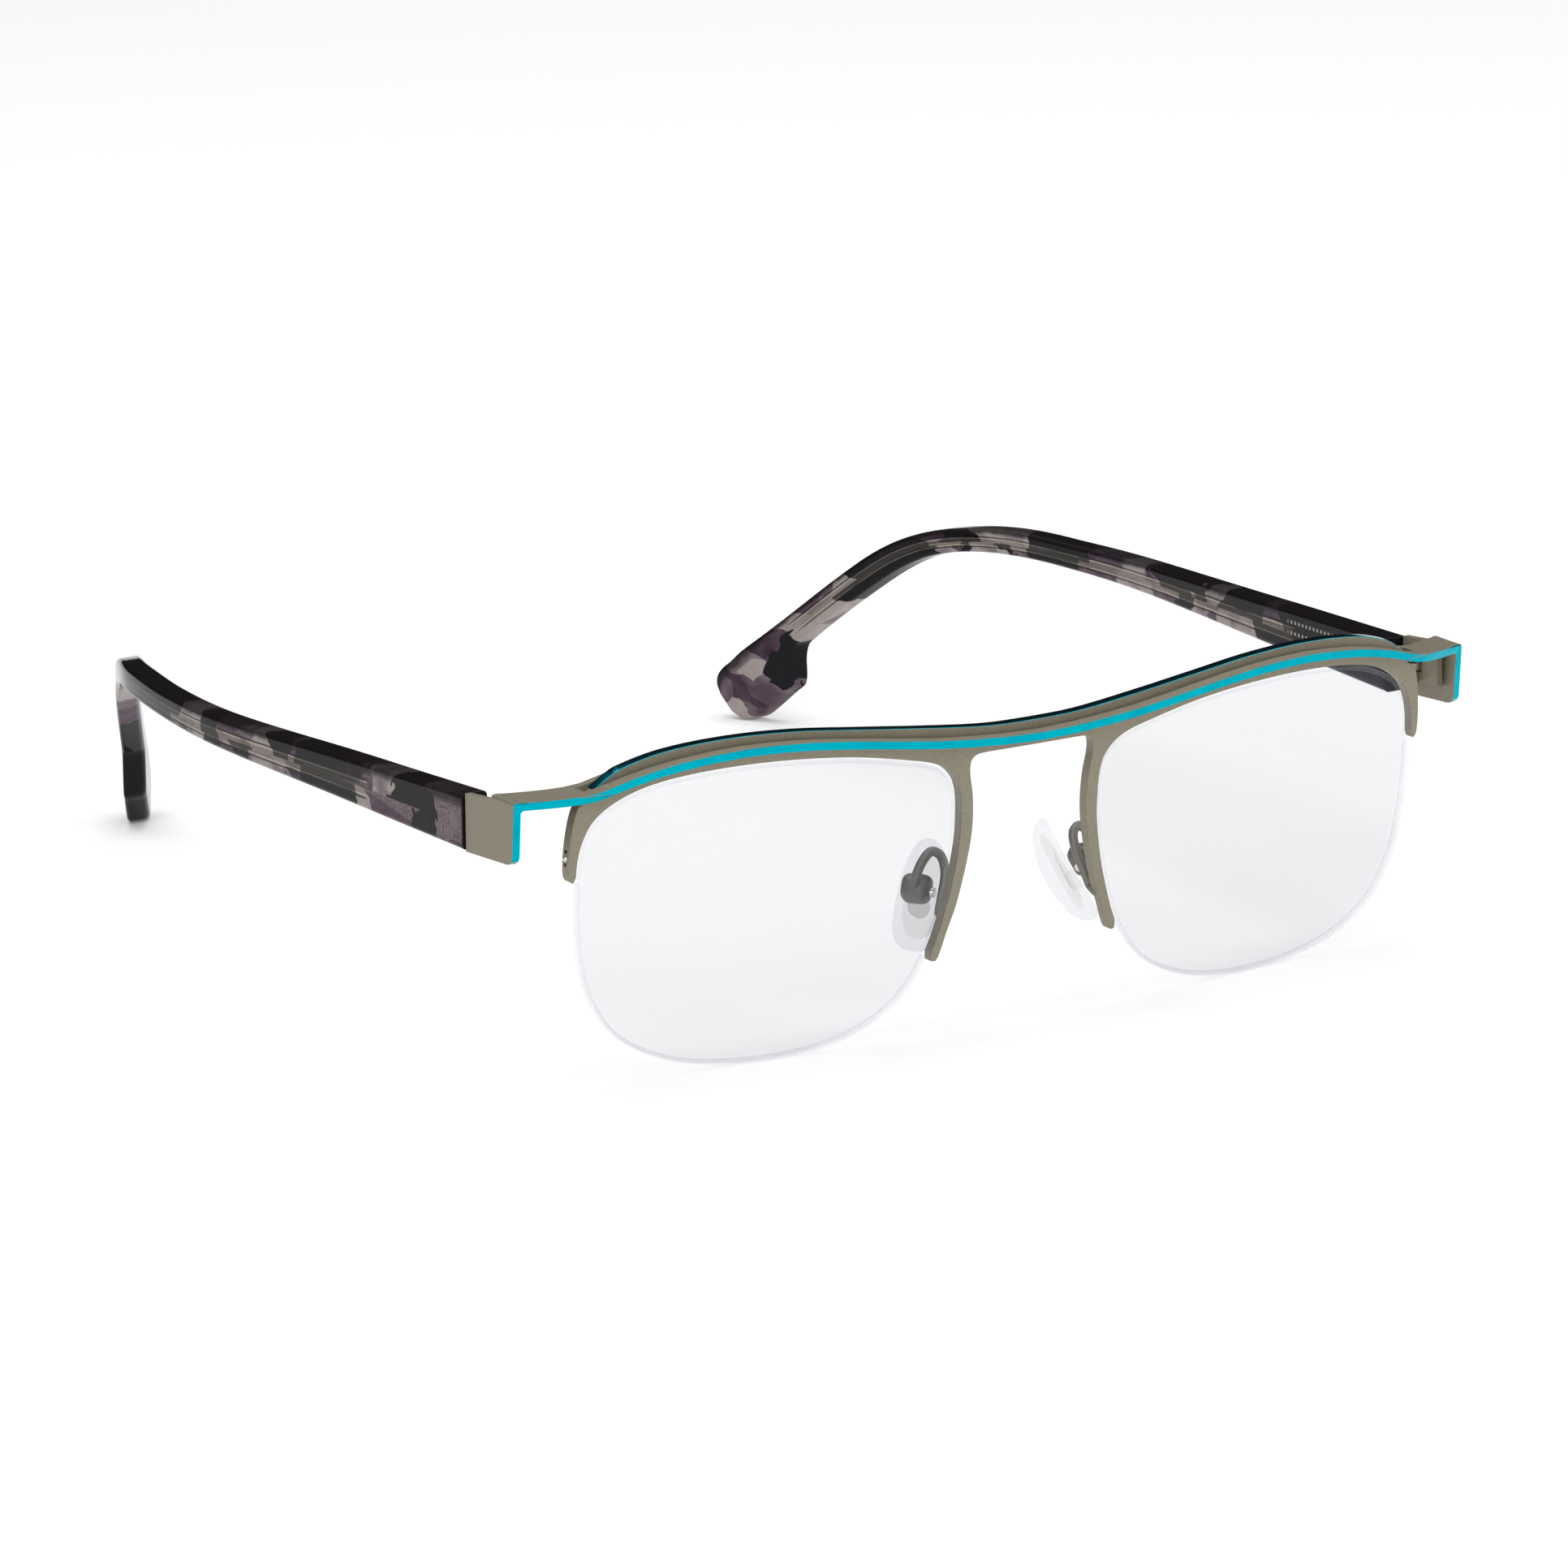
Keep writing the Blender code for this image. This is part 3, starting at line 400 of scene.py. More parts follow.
class Nodes:
    """A node tree of a material or the world, built up in a few short calls."""

    def __init__(self, owner, out):
        self.owner = owner
        self.owner.use_nodes = True
        self.tree = owner.node_tree
        self.tree.nodes.clear()
        self.out = self.tree.nodes.new(out)

    def node(self, kind, links=(), values=(), **settings):
        made = self.tree.nodes.new("ShaderNode" + kind)
        for key, value in settings.items():
            setattr(made, key, value)
        for key, value in dict(values).items():
            made.inputs[key].default_value = value
        for key, socket in dict(links).items():
            self.tree.links.new(socket, made.inputs[key])
        return made

    def place(self, scale=(1000, 1000, 1000)):
        """The place on the object, in millimetres unless scaled otherwise."""
        where = self.node("TexCoord")
        made = self.node("Mapping", {"Vector": where.outputs["Object"]}, {"Scale": scale})
        return made.outputs[0]

    def noise(self, vector, scale, detail=3.0, rough=0.5):
        values = {"Scale": scale, "Detail": detail, "Roughness": rough}
        return self.node("TexNoise", {"Vector": vector}, values).outputs[0]

    def ramp(self, value, stops, kind="LINEAR"):
        made = self.node("ValToRGB", {"Fac": value})
        band = made.color_ramp
        band.interpolation = kind
        while len(band.elements) < len(stops):
            band.elements.new(0.5)
        for element, (place, color) in zip(band.elements, stops):
            element.position = place
            element.color = (*color, 1.0)
        return made.outputs[0]

    def greys(self, value, stops, kind="LINEAR"):
        """A ramp of single values, such as roughness."""
        return self.ramp(value, [(place, (grey,) * 3) for place, grey in stops], kind)

    def math(self, operation, a, b=None, c=None, clamp=False):
        made = self.node("Math", operation=operation, use_clamp=clamp)
        for index, item in enumerate((a, b, c)):
            if item is None:
                continue
            if isinstance(item, (int, float)):
                made.inputs[index].default_value = item
            else:
                self.tree.links.new(item, made.inputs[index])
        return made.outputs[0]

    def times(self, first, *others):
        for other in others:
            first = self.math("MULTIPLY", first, other)
        return first

    def invert(self, value):
        return self.math("SUBTRACT", 1.0, value)

    def distance(self, value, centre):
        return self.math("ABSOLUTE", self.math("SUBTRACT", value, centre))

    def vector(self, **parts):
        """A vector from its x, y and z, where a missing one is 0."""
        return self.node(
            "CombineXYZ", {"XYZ".index(name.upper()): value for name, value in parts.items()}
        ).outputs[0]

    def mix(self, factor, a, b):
        made = self.node("Mix", data_type="RGBA")
        for name, item in (("Factor", factor), ("A", a), ("B", b)):
            kind = "VALUE" if name == "Factor" else "RGBA"
            socket = next(s for s in made.inputs if s.name == name and s.type == kind)
            if isinstance(item, tuple):
                socket.default_value = (*item, 1.0)
            else:
                self.tree.links.new(item, socket)
        return next(s for s in made.outputs if s.type == "RGBA")

    def steps(self, value, low, high):
        """0 below low, 1 above high, smooth between."""
        made = self.node("MapRange", interpolation_type="SMOOTHSTEP")
        self.tree.links.new(value, made.inputs[0])
        made.inputs[1].default_value = low
        made.inputs[2].default_value = high
        return made.outputs[0]

    def band(self, value, start, full, fading, end):
        """1 inside a stretch and 0 outside it, with soft ends."""
        begun = self.steps(value, start, full)
        return self.times(begun, self.invert(self.steps(value, fading, end)))

    def bump(self, height, strength, distance):
        values = {"Strength": strength, "Distance": distance}
        return self.node("Bump", {"Height": height}, values).outputs[0]

    def shader(self, links=(), values=()):
        return self.node("BsdfPrincipled", links, values)

    def show(self, shader):
        self.tree.links.new(shader.outputs[0], self.out.inputs["Surface"])
        return self.owner


def look_of(name):
    return Nodes(bpy.data.materials.new(name), "ShaderNodeOutputMaterial")


def khaki(name, base=(0.255, 0.232, 0.172), edge=(0.20, 0.182, 0.13)):
    """Matt sprayed metal: fine grain, slow drift of tone, a few light specks."""
    look = look_of(name)
    place = look.place()
    drift = look.noise(place, 0.12, 2)
    grain = look.noise(place, 9.0, 4, 0.65)
    tone = look.ramp(look.noise(place, 2.4, 5, 0.7), [(0.3, edge), (0.62, base)])
    lighter = tuple(min(c * 1.25, 1) for c in base)
    tone = look.mix(look.times(drift, 0.25), tone, lighter)
    specks = look.steps(look.noise(place, 5.3, 1), 0.80, 0.84)
    tone = look.mix(look.times(specks, 0.5), tone, (0.55, 0.5, 0.36))
    rough = look.greys(grain, [(0.3, 0.44), (0.7, 0.56)])
    normal = look.bump(grain, 0.22, 0.00004)
    return look.show(look.shader(
        {"Base Color": tone, "Roughness": rough, "Normal": normal},
        {"Metallic": 0.45, "Specular IOR Level": 0.45},
    ))


def teal():
    """Glossy metallic lacquer on the cut edges."""
    look = look_of("teal_lacquer")
    place = look.place()
    drift = look.noise(place, 0.35, 3)
    tone = look.ramp(drift, [(0.25, (0.0, 0.33, 0.42)), (0.75, (0.0, 0.41, 0.51))])
    rough = look.greys(look.noise(place, 14.0, 3), [(0.3, 0.11), (0.7, 0.17)])
    normal = look.bump(look.noise(place, 3.0, 3), 0.06, 0.00003)
    return look.show(look.shader(
        {"Base Color": tone, "Roughness": rough, "Normal": normal}, {"Metallic": 1.0}
    ))


def grey_metal():
    """The darker plated metal of the pad arms and cups."""
    look = look_of("pad_metal")
    grain = look.noise(look.place(), 8.0, 4, 0.6)
    tone = look.ramp(grain, [(0.3, (0.145, 0.14, 0.12)), (0.7, (0.19, 0.185, 0.165))])
    normal = look.bump(grain, 0.2, 0.00004)
    rough = look.greys(grain, [(0.3, 0.4), (0.7, 0.5)])
    return look.show(look.shader(
        {"Base Color": tone, "Roughness": rough, "Normal": normal}, {"Metallic": 0.4}
    ))


def steel():
    """Bright screws with turning marks."""
    look = look_of("screw_steel")
    turned = look.noise(look.place((1000, 1000, 9000)), 1.5, 3)
    tone = look.ramp(turned, [(0.3, (0.45, 0.44, 0.42)), (0.7, (0.7, 0.69, 0.66))])
    rough = look.greys(look.noise(look.place(), 6, 3), [(0.3, 0.2), (0.7, 0.36)])
    return look.show(look.shader({"Base Color": tone, "Roughness": rough}, {"Metallic": 1.0}))


def core_metal():
    """Warm nickel silver wire with fine drawing lines."""
    look = look_of("core_wire")
    lines = look.noise(look.place((1000, 60, 1000)), 3.0, 4, 0.6)
    tone = look.ramp(lines, [(0.3, (0.38, 0.32, 0.22)), (0.7, (0.70, 0.62, 0.48))])
    rough = look.greys(lines, [(0.3, 0.3), (0.7, 0.42)])
    return look.show(look.shader({"Base Color": tone, "Roughness": rough}, {"Metallic": 0.5}))


def clear(name, tint, color, body, rim, narrow=2.5, gloss_rough=0.03, cloud=0.02):
    """Clear plastic or glass: mostly see-through, with more body and shine at its rims.

    The tint is what it lets through, the color is what its body reflects, and a higher narrow
    keeps the rim thinner.
    """
    look = look_of(name)
    haze = look.noise(look.place(), 0.6, 3)
    facing = look.node("LayerWeight", values={"Blend": 0.35}).outputs["Facing"]
    amount = look.math("MULTIPLY_ADD", look.math("POWER", facing, narrow), rim, body)
    amount = look.math("MULTIPLY_ADD", haze, cloud, amount, clamp=True)
    see = look.node("BsdfTransparent")
    see.inputs["Color"].default_value = (*tint, 1.0)
    lighter = tuple(min(1, c * 1.08) for c in color)
    tone = look.ramp(haze, [(0.3, color), (0.7, lighter)])
    rough = look.greys(haze, [(0.2, gloss_rough), (0.8, gloss_rough * 1.6)])
    solid = look.shader({"Base Color": tone, "Roughness": rough}, {"IOR": 1.5})
    return look.show(look.node("MixShader", {0: amount, 1: see.outputs[0], 2: solid.outputs[0]}))


def chip_shade(look, seed, run, high, place, above, below):
    """How light the acetate is: the two rows of chips, with small odd patches in them."""

    # each chip's ends lie at their own slant, with a slight waver
    def row(chips, turn):
        lean = look.math("ADD", look.times(run, 0.13), seed + turn)
        lean = look.noise(look.vector(x=lean), 1.0, 0)
        lean = look.times(look.math("SUBTRACT", lean, 0.5), 11.0)
        waver = look.math("SUBTRACT", look.noise(place, 1.1 + 0.2 * turn, 2, 0.45), 0.5)
        spot = look.math("MULTIPLY_ADD", high, lean, run)
        spot = look.math("MULTIPLY_ADD", waver, 5.0, spot)
        stops = [(max(start, 0) / CHIP_SPAN, shade) for start, shade in chips]
        return look.greys(look.math("DIVIDE", spot, CHIP_SPAN), stops, "CONSTANT")

    loose = look.times(look.steps(run, *TIP_STARTS), 1.3)
    seam = look.math("SUBTRACT", look.noise(place, 0.8, 1), 0.5)
    seam = look.math("MULTIPLY_ADD", seam, loose, look.math("ADD", high, CORE_DROP))
    shade = look.mix(look.steps(seam, -0.03, 0.03), row(below, 3.0), row(above, 0.0))
    cells = look.node("TexVoronoi", {"Vector": place}, {"Scale": 0.9, "Randomness": 0.9})
    pick = look.node("SeparateColor", {0: cells.outputs["Color"]}).outputs[0]
    cloud = look.math("SUBTRACT", look.noise(place, 1.6, 2, 0.4), 0.5)
    shade = look.math("MULTIPLY_ADD", look.math("SUBTRACT", pick, 0.5), 0.34, shade)
    return look.math("MULTIPLY_ADD", cloud, 0.5, shade, clamp=True), cloud


def add_leaf(look, tone, shade, run, high, flank):
    """The hinge leaf's rough surface shows in a long wedge near the front end."""
    reach = look.math("SUBTRACT", LEAF_POINT, run)
    reach = look.math("MULTIPLY", reach, 1 / LEAF_TAPER, clamp=True)
    off_leaf = look.math("ABSOLUTE", look.math("ADD", high, LEAF_DROP))
    inside = look.math("SUBTRACT", look.times(reach, LEAF_HALF), off_leaf)
    inside = look.times(look.steps(inside, 0.0, 0.02), look.steps(shade, 0.25, 0.45), flank)
    pebbles = look.noise(look.vector(x=run, y=look.times(high, 3.3)), 2.4, 2, 0.7)
    rough_leaf = look.ramp(pebbles, [(0.35, (0.075, 0.06, 0.065)), (0.65, (0.25, 0.205, 0.205))])
    return look.mix(look.times(inside, 0.6), tone, rough_leaf)


def add_core(look, tone, shade, run, shifted, high, flank):
    """The flat core: dim metal between two bright edges, each with a dark line outside it."""
    off_core = look.math("ABSOLUTE", look.math("ADD", high, CORE_DROP))
    clear_here = look.math("MULTIPLY_ADD", look.steps(shade, 0.15, 0.5), 0.75, 0.25)
    length = look.times(look.band(run, *CORE_SHOWS), flank, clear_here)

    def line(where, width):
        off = look.distance(off_core, where)
        return look.times(length, look.invert(look.steps(off, width * 0.45, width)))

    drawn = look.vector(x=look.times(run, 0.05), y=look.times(high, 9.0))
    strip = look.ramp(look.noise(drawn, 2.0, 3, 0.6), [
        (0.35, (0.07, 0.06, 0.055)), (0.65, (0.30, 0.27, 0.22)),
    ])
    middle = look.invert(look.steps(off_core, 0.22, 0.27))
    tone = look.mix(look.times(middle, length, 0.6), tone, strip)
    tone = look.mix(look.times(line(CORE_SHADOW, 0.07), 0.85), tone, (0.012, 0.010, 0.013))
    broken = look.steps(look.noise(look.vector(x=shifted), 0.16, 2), 0.3, 0.5)
    return look.mix(look.times(line(CORE_EDGE, 0.05), broken, 0.85), tone, (0.46, 0.41, 0.32))


def add_teeth(look, tone, run, high, deep):
    """The knurled edges of the leaf, seen from inside."""
    beat = look.math("SINE", look.times(run, TEETH_PACE))
    rows = look.math(
        "MINIMUM", look.distance(high, TEETH_UPPER), look.distance(high, TEETH_LOWER)
    )
    comb = look.times(look.steps(beat, 0.0, 0.5), look.invert(look.steps(rows, 0.05, 0.09)))
    inner_face = look.math("LESS_THAN", deep, -0.9)
    comb = look.times(comb, look.band(run, *TEETH_SHOW), inner_face)
    return look.mix(look.times(comb, 0.8), tone, (0.42, 0.38, 0.31))


def acetate(name, seed, above, below):
    """Polished acetate of black, purple and pale chips, with the metal core showing inside."""
    look = look_of(name)
    flow = look.node("Attribute", attribute_name="flow").outputs["Vector"]
    parts = look.node("SeparateXYZ", {0: flow})
    deep, run, high = parts.outputs[0], parts.outputs[1], parts.outputs[2]
    shifted = look.math("ADD", run, seed * 10)
    place = look.vector(
        x=look.times(deep, 0.35), y=look.times(shifted, 0.3), z=look.times(high, 0.9)
    )
    shade, cloud = chip_shade(look, seed, run, high, place, above, below)
    tone = look.ramp(shade, [
        (0.0, (0.007, 0.007, 0.009)), (0.20, (0.008, 0.007, 0.010)),
        (0.32, (0.026, 0.014, 0.024)), (0.6, (0.080, 0.050, 0.070)),
        (0.8, (0.18, 0.14, 0.155)), (1.0, (0.36, 0.315, 0.30)),
    ])
    flank = look.steps(look.math("ABSOLUTE", deep), 0.86, 0.95)
    tone = add_leaf(look, tone, shade, run, high, flank)
    tone = add_core(look, tone, shade, run, shifted, high, flank)
    tone = add_teeth(look, tone, run, high, deep)
    # from above nearly everything is black
    ragged = look.math("MULTIPLY_ADD", cloud, 0.5, high)
    ridge = look.times(look.steps(ragged, 0.45, 0.78), 0.9)
    tone = look.mix(ridge, tone, (0.010, 0.008, 0.009))
    # painted shade on the front end, where the temple meets the side plate
    end_shade = look.invert(look.steps(run, *END_SHADE))
    tone = look.mix(end_shade, tone, (0.008, 0.007, 0.008))
    # the palest chips let a little light through
    facing = look.node("LayerWeight", values={"Blend": 0.3}).outputs["Facing"]
    see_amount = look.times(
        look.steps(shade, 0.45, 1.0), 0.22, look.invert(ridge), look.invert(facing)
    )
    see = look.node("BsdfTransparent")
    see.inputs["Color"].default_value = (0.84, 0.80, 0.82, 1.0)
    rough = look.greys(look.noise(flow, 1.4, 3), [(0.3, 0.05), (0.7, 0.09)])
    normal = look.bump(look.noise(flow, 0.35, 2), 0.05, 0.0002)
    gloss = look.shader(
        {"Base Color": tone, "Roughness": rough, "Normal": normal},
        {"IOR": 1.5, "Specular IOR Level": 0.10},
    )
    return look.show(
        look.node("MixShader", {0: see_amount, 1: gloss.outputs[0], 2: see.outputs[0]})
    )


KHAKI = khaki("khaki_metal")
TEAL = teal()
GREY = grey_metal()
STEEL = steel()
CORE = core_metal()
TIP = khaki("cord_tip", (0.012, 0.012, 0.012), (0.006, 0.006, 0.006))
LENS = clear(
    "lens_clear", tint=(0.914, 0.915, 0.919), color=(0.72, 0.70, 0.90),
    body=0.010, rim=0.22, gloss_rough=0.02, cloud=0.006,
)
LENS_EDGE = clear(
    "lens_edge", tint=(0.99, 0.99, 0.995), color=(0.90, 0.90, 0.92),
    body=0.03, rim=0.16, gloss_rough=0.05, cloud=0.04,
)
LENS_GROOVE = clear(
    "lens_groove", tint=(0.975, 0.975, 0.982), color=(0.6, 0.6, 0.66),
    body=0.03, rim=0.12, gloss_rough=0.08, cloud=0.04,
)
NYLON = clear(
    "nylon_clear", tint=(0.985, 0.985, 0.99), color=(0.85, 0.85, 0.9),
    body=0.04, rim=0.25, gloss_rough=0.05, cloud=0.06,
)
SILICONE = clear(
    "pad_silicone", tint=(0.950, 0.952, 0.960), color=(0.34, 0.35, 0.44),
    body=0.03, rim=0.85, narrow=9.0, gloss_rough=0.05, cloud=0.05,
)
INSERT = clear(
    "pad_insert_clear", tint=(0.985, 0.98, 0.975), color=(0.40, 0.36, 0.32),
    body=0.015, rim=0.7, narrow=7.0, gloss_rough=0.05, cloud=0.05,
)
ACETATE_LEFT = acetate("acetate_left", 3.1, *CHIPS_LEFT)
ACETATE_RIGHT = acetate("acetate_right", 9.4, *CHIPS_RIGHT)


# ---------------------------------------------------------------- the front

def lens_outline(steps):
    return smooth_path(LENS_POINTS, steps, closed=True)


def plate_outline():
    """The left half from the bridge's lower middle round to its upper middle, then mirrored."""
    path = offset_closed(lens_outline(8), GAP)
    kept = [p for p in path if p.y > (RIM_END_NOSE if p.x < 36 else RIM_END_OUTER)]
    first = next(i for i, p in enumerate(kept) if p.x > 36 and kept[i + 1].x < 36)
    rim = kept[first + 1:] + kept[:first + 1]
    half = [Vector(BRIDGE_BOTTOM)] + list(reversed(smooth_path(NOSE_ARM, 5))) + rim
    half += list(reversed(smooth_path(OUTER_ARM, 5))) + list(reversed(smooth_path(BROW_TOP, 6)))
    half = [p for p in half if p.x > 0.4]
    return half + [Vector((-p.x, p.y)) for p in reversed(half)]


def make_plate():
    bm = slab(plate_outline(), PLATE_THICKNESS)
    round_edges(bm, PLATE_ROUND, 55)
    slice_up(bm, [3 * k for k in range(-20, 21)])
    clean(bm)
    for face in bm.faces:
        centre = face.calc_center_median()
        above = centre.z > along(RIBBON_BOTTOM, abs(centre.x)) + 0.8
        if above and abs(face.normal.y) < 0.95 and face.normal.z > 0.25:
            face.material_index = 1
    for vertex in bm.verts:
        vertex.co = bend_plate(vertex.co)
    return piece(bm, "plate_body", [KHAKI, TEAL], "front", ["front_plate"])


def make_ribbon():
    made = refined(
        "brow_ribbon", "ribbon_body", [KHAKI, TEAL], "front", 0.13
    )
    for face in made.data.polygons:
        centre = face.center / MM - Vector((0, FRONT_Y, 0))
        depth = centre.y - ribbon_shift(centre, 0)
        heel = centre.z < 31 and depth < 0.5 and face.normal.y < -0.3
        if depth < 0.12 or heel:
            face.material_index = 1
    return made


def make_lens(side, word):
    """A lens with bevelled rims and a groove all round its edge."""
    outline = lens_outline(8)
    middle = LENS_THICKNESS / 2
    floor = -GROOVE_DEPTH + 0.1
    profile = [
        (0.0, -LENS_BEVEL), (LENS_BEVEL, 0.0), (middle - GROOVE_HALF, 0.0),
        (middle - 0.3, floor), (middle, -GROOVE_DEPTH), (middle + 0.3, floor),
        (middle + GROOVE_HALF, 0.0), (LENS_THICKNESS - LENS_BEVEL, 0.0),
        (LENS_THICKNESS, -LENS_BEVEL),
    ]
    rings = []
    for y, inset in profile:
        rings.append([
            Vector((p.x, LENS_SETBACK + y, p.y)) for p in offset_closed(outline, inset)
        ])
    bm = ring_solid(rings)
    for face in bm.faces:
        from_middle = max(abs(v.co.y - LENS_SETBACK - middle) for v in face.verts)
        if len(face.verts) > 4:
            face.material_index = 0
        else:
            face.material_index = 2 if from_middle < GROOVE_HALF + 0.01 else 1
    slice_up(bm, [12 + 2.5 * k for k in range(20)])
    clean(bm)
    for vertex in bm.verts:
        vertex.co = bend_plate(vertex.co)
    return piece(
        bm, "lens_glass_" + word, [LENS, LENS_EDGE, LENS_GROOVE], "front",
        ["lens_" + word], side,
    )


def make_cord(side, word):
    path = offset_closed(lens_outline(6), -CORD_INSET)
    low = [p for p in path if p.y < (CORD_END_NOSE if p.x < 36 else CORD_END_OUTER)]
    depth = LENS_SETBACK + LENS_THICKNESS / 2
    route = [bend_plate(Vector((p.x, depth, p.y))) for p in low]
    bm = tube_mesh(route, CORD_RADIUS, 10)
    piece(bm, "cord_fine_" + word, [NYLON], "front", ["nylon_cord_" + word], side, 0, False)


def make_cord_end(side, word):
    """The cord's melted tips and the bead that holds them, on the outer arm's edge."""
    domes = [(CORD_BEAD, STEEL, "screw")] + [(tip, TIP, "cord") for tip in CORD_TIPS]
    for (name, z, out, radius), finish, slot in domes:
        inner = bend_plate(Vector((ARM_EDGE - 0.35, PLATE_THICKNESS / 2, z)))
        outer = bend_plate(Vector((ARM_EDGE + out, PLATE_THICKNESS / 2, z)))
        bm = tube_mesh([inner, outer], radius, 16)
        piece(bm, name + word, [finish], "front", side=side, sharp=0, weighted=False)


def make_pad_arm(side, word):
    """A bent wire from the nose arm's rear face round to the pad's cup."""
    end = pad_frame() @ Vector((0, -PAD_BOX_BACK + 0.3, 0))
    route = smooth_path(PAD_ARM_ROUTE + [tuple(end)], 8)
    root = bend_plate(Vector((11.35, PLATE_THICKNESS - 0.3, 14.6)))
    bm = tube_mesh([root] + route, PAD_ARM_RADIUS, 14)
    piece(
        bm, "pad_arm_fine_" + word, [GREY], "front", ["pad_arm_" + word],
        side, 0, False,
    )


def make_pad_box(side, word):
    """A rounded cup that holds the insert's eye."""
    bm = bmesh.new()
    bmesh.ops.create_cube(bm, size=1)
    bm.transform(Matrix.Translation((0, -0.45, 0.35)) @ Matrix.Diagonal((4.1, 3.0, 4.0, 1)))
    for vertex in bm.verts:
        if vertex.co.y < -1:
            vertex.co.x *= 0.82
            vertex.co.z *= 0.82
    bmesh.ops.bevel(
        bm, geom=list(bm.edges), offset=1.1, segments=5, profile=0.5, affect="EDGES",
        clamp_overlap=True,
    )
    bm.transform(pad_frame())
    piece(bm, "pad_cup_" + word, [GREY], "front", ["pad_box_" + word], side, 60)


def make_pad_screw(side, word):
    """A domed head on the side of the cup that faces the nose arm."""
    profile = ((-1.75, 0.62), (-2.28, 0.64), (-2.42, 0.55), (-2.46, 0.3))
    rings = [[Vector((x, c, s)) for c, s in circle(radius, 24)] for x, radius in profile]
    bm = ring_solid(rings)
    bm.transform(pad_frame())
    piece(
        bm, "pad_screw_head_" + word, [STEEL], "front", ["pad_screw_" + word], side, 35
    )


def oval(width, height, count, power=2.4):
    """A rounded outline, narrower at its upper end."""
    points = []
    for c, s in circle(1, count):
        x = math.copysign(abs(c) ** (2 / power), c) * width
        z = math.copysign(abs(s) ** (2 / power), s) * height
        x *= 1 - 0.16 * (z / height)
        points.append((x, z))
    return points


def pad_loft(width, height, levels, count=40):
    rings = []
    for y, size in levels:
        rings.append([Vector((x, y, z)) for x, z in oval(width * size, height * size, count)])
    return ring_solid(rings)


def make_nose_pad(side, word):
    levels = [
        (2.0, 0.72), (1.85, 0.86), (2.0, 0.95), (2.5, 1.0), (3.1, 0.99), (3.7, 0.93),
        (4.2, 0.80), (4.5, 0.58), (4.62, 0.28), (4.64, 0.08),
    ]
    bm = pad_loft(*PAD_HALF, levels)
    for vertex in bm.verts:
        vertex.co.y -= 0.018 * vertex.co.z**2 - 0.2
    bm.transform(pad_frame())
    piece(
        bm, "pad_soft_" + word, [SILICONE], "pad_" + word, ["nose_pad_" + word],
        side, 0, False,
    )


def make_pad_insert(side, word):
    levels = [(2.45, 0.93), (2.55, 1.0), (2.95, 1.0), (3.05, 0.93)]
    bm = pad_loft(*INSERT_HALF, levels, 32)
    eye = []
    for y, radius in ((0.9, 1.25), (1.1, 1.3), (2.35, 1.3), (2.5, 1.2)):
        eye.append([Vector((c, y, s - 1.6)) for c, s in circle(radius, 28)])
    stem = ring_solid(eye)
    mesh = bpy.data.meshes.new("stem")
    stem.to_mesh(mesh)
    stem.free()
    bm.from_mesh(mesh)
    bpy.data.meshes.remove(mesh)
    bm.transform(pad_frame())
    piece(
        bm, "pad_plate_" + word, [INSERT], "pad_" + word, ["pad_insert_" + word],
        side, 35,
    )


# ---------------------------------------------------------------- temples

def rounded_ring(top, bottom, inset):
    """A rounded rectangle across the temple, as (point, depth, height) triples."""
    up = (top - bottom).normalized()
    centre = (top + bottom) / 2
    half_h = (top - bottom).length / 2 - inset
    half_t = TEMPLE_THICKNESS / 2 - inset
    r = max(min(TEMPLE_CORNER, half_h * 0.95, half_t * 0.95), 0.02)
    arc = 4
    ring = []
    for quarter, (sx, sz) in enumerate(((1, 1), (-1, 1), (-1, -1), (1, -1))):
        for k in range(arc + 1):
            a = math.pi / 2 * (quarter + k / arc)
            x = sx * (half_t - r) + r * math.cos(a)
            z = sz * (half_h - r) + r * math.sin(a)
            place = centre + up * z
            point = bend_temple(Vector((x - TEMPLE_THICKNESS / 2, place.x, place.y)))
            ring.append((point, x / half_t, z / half_h))
    return ring


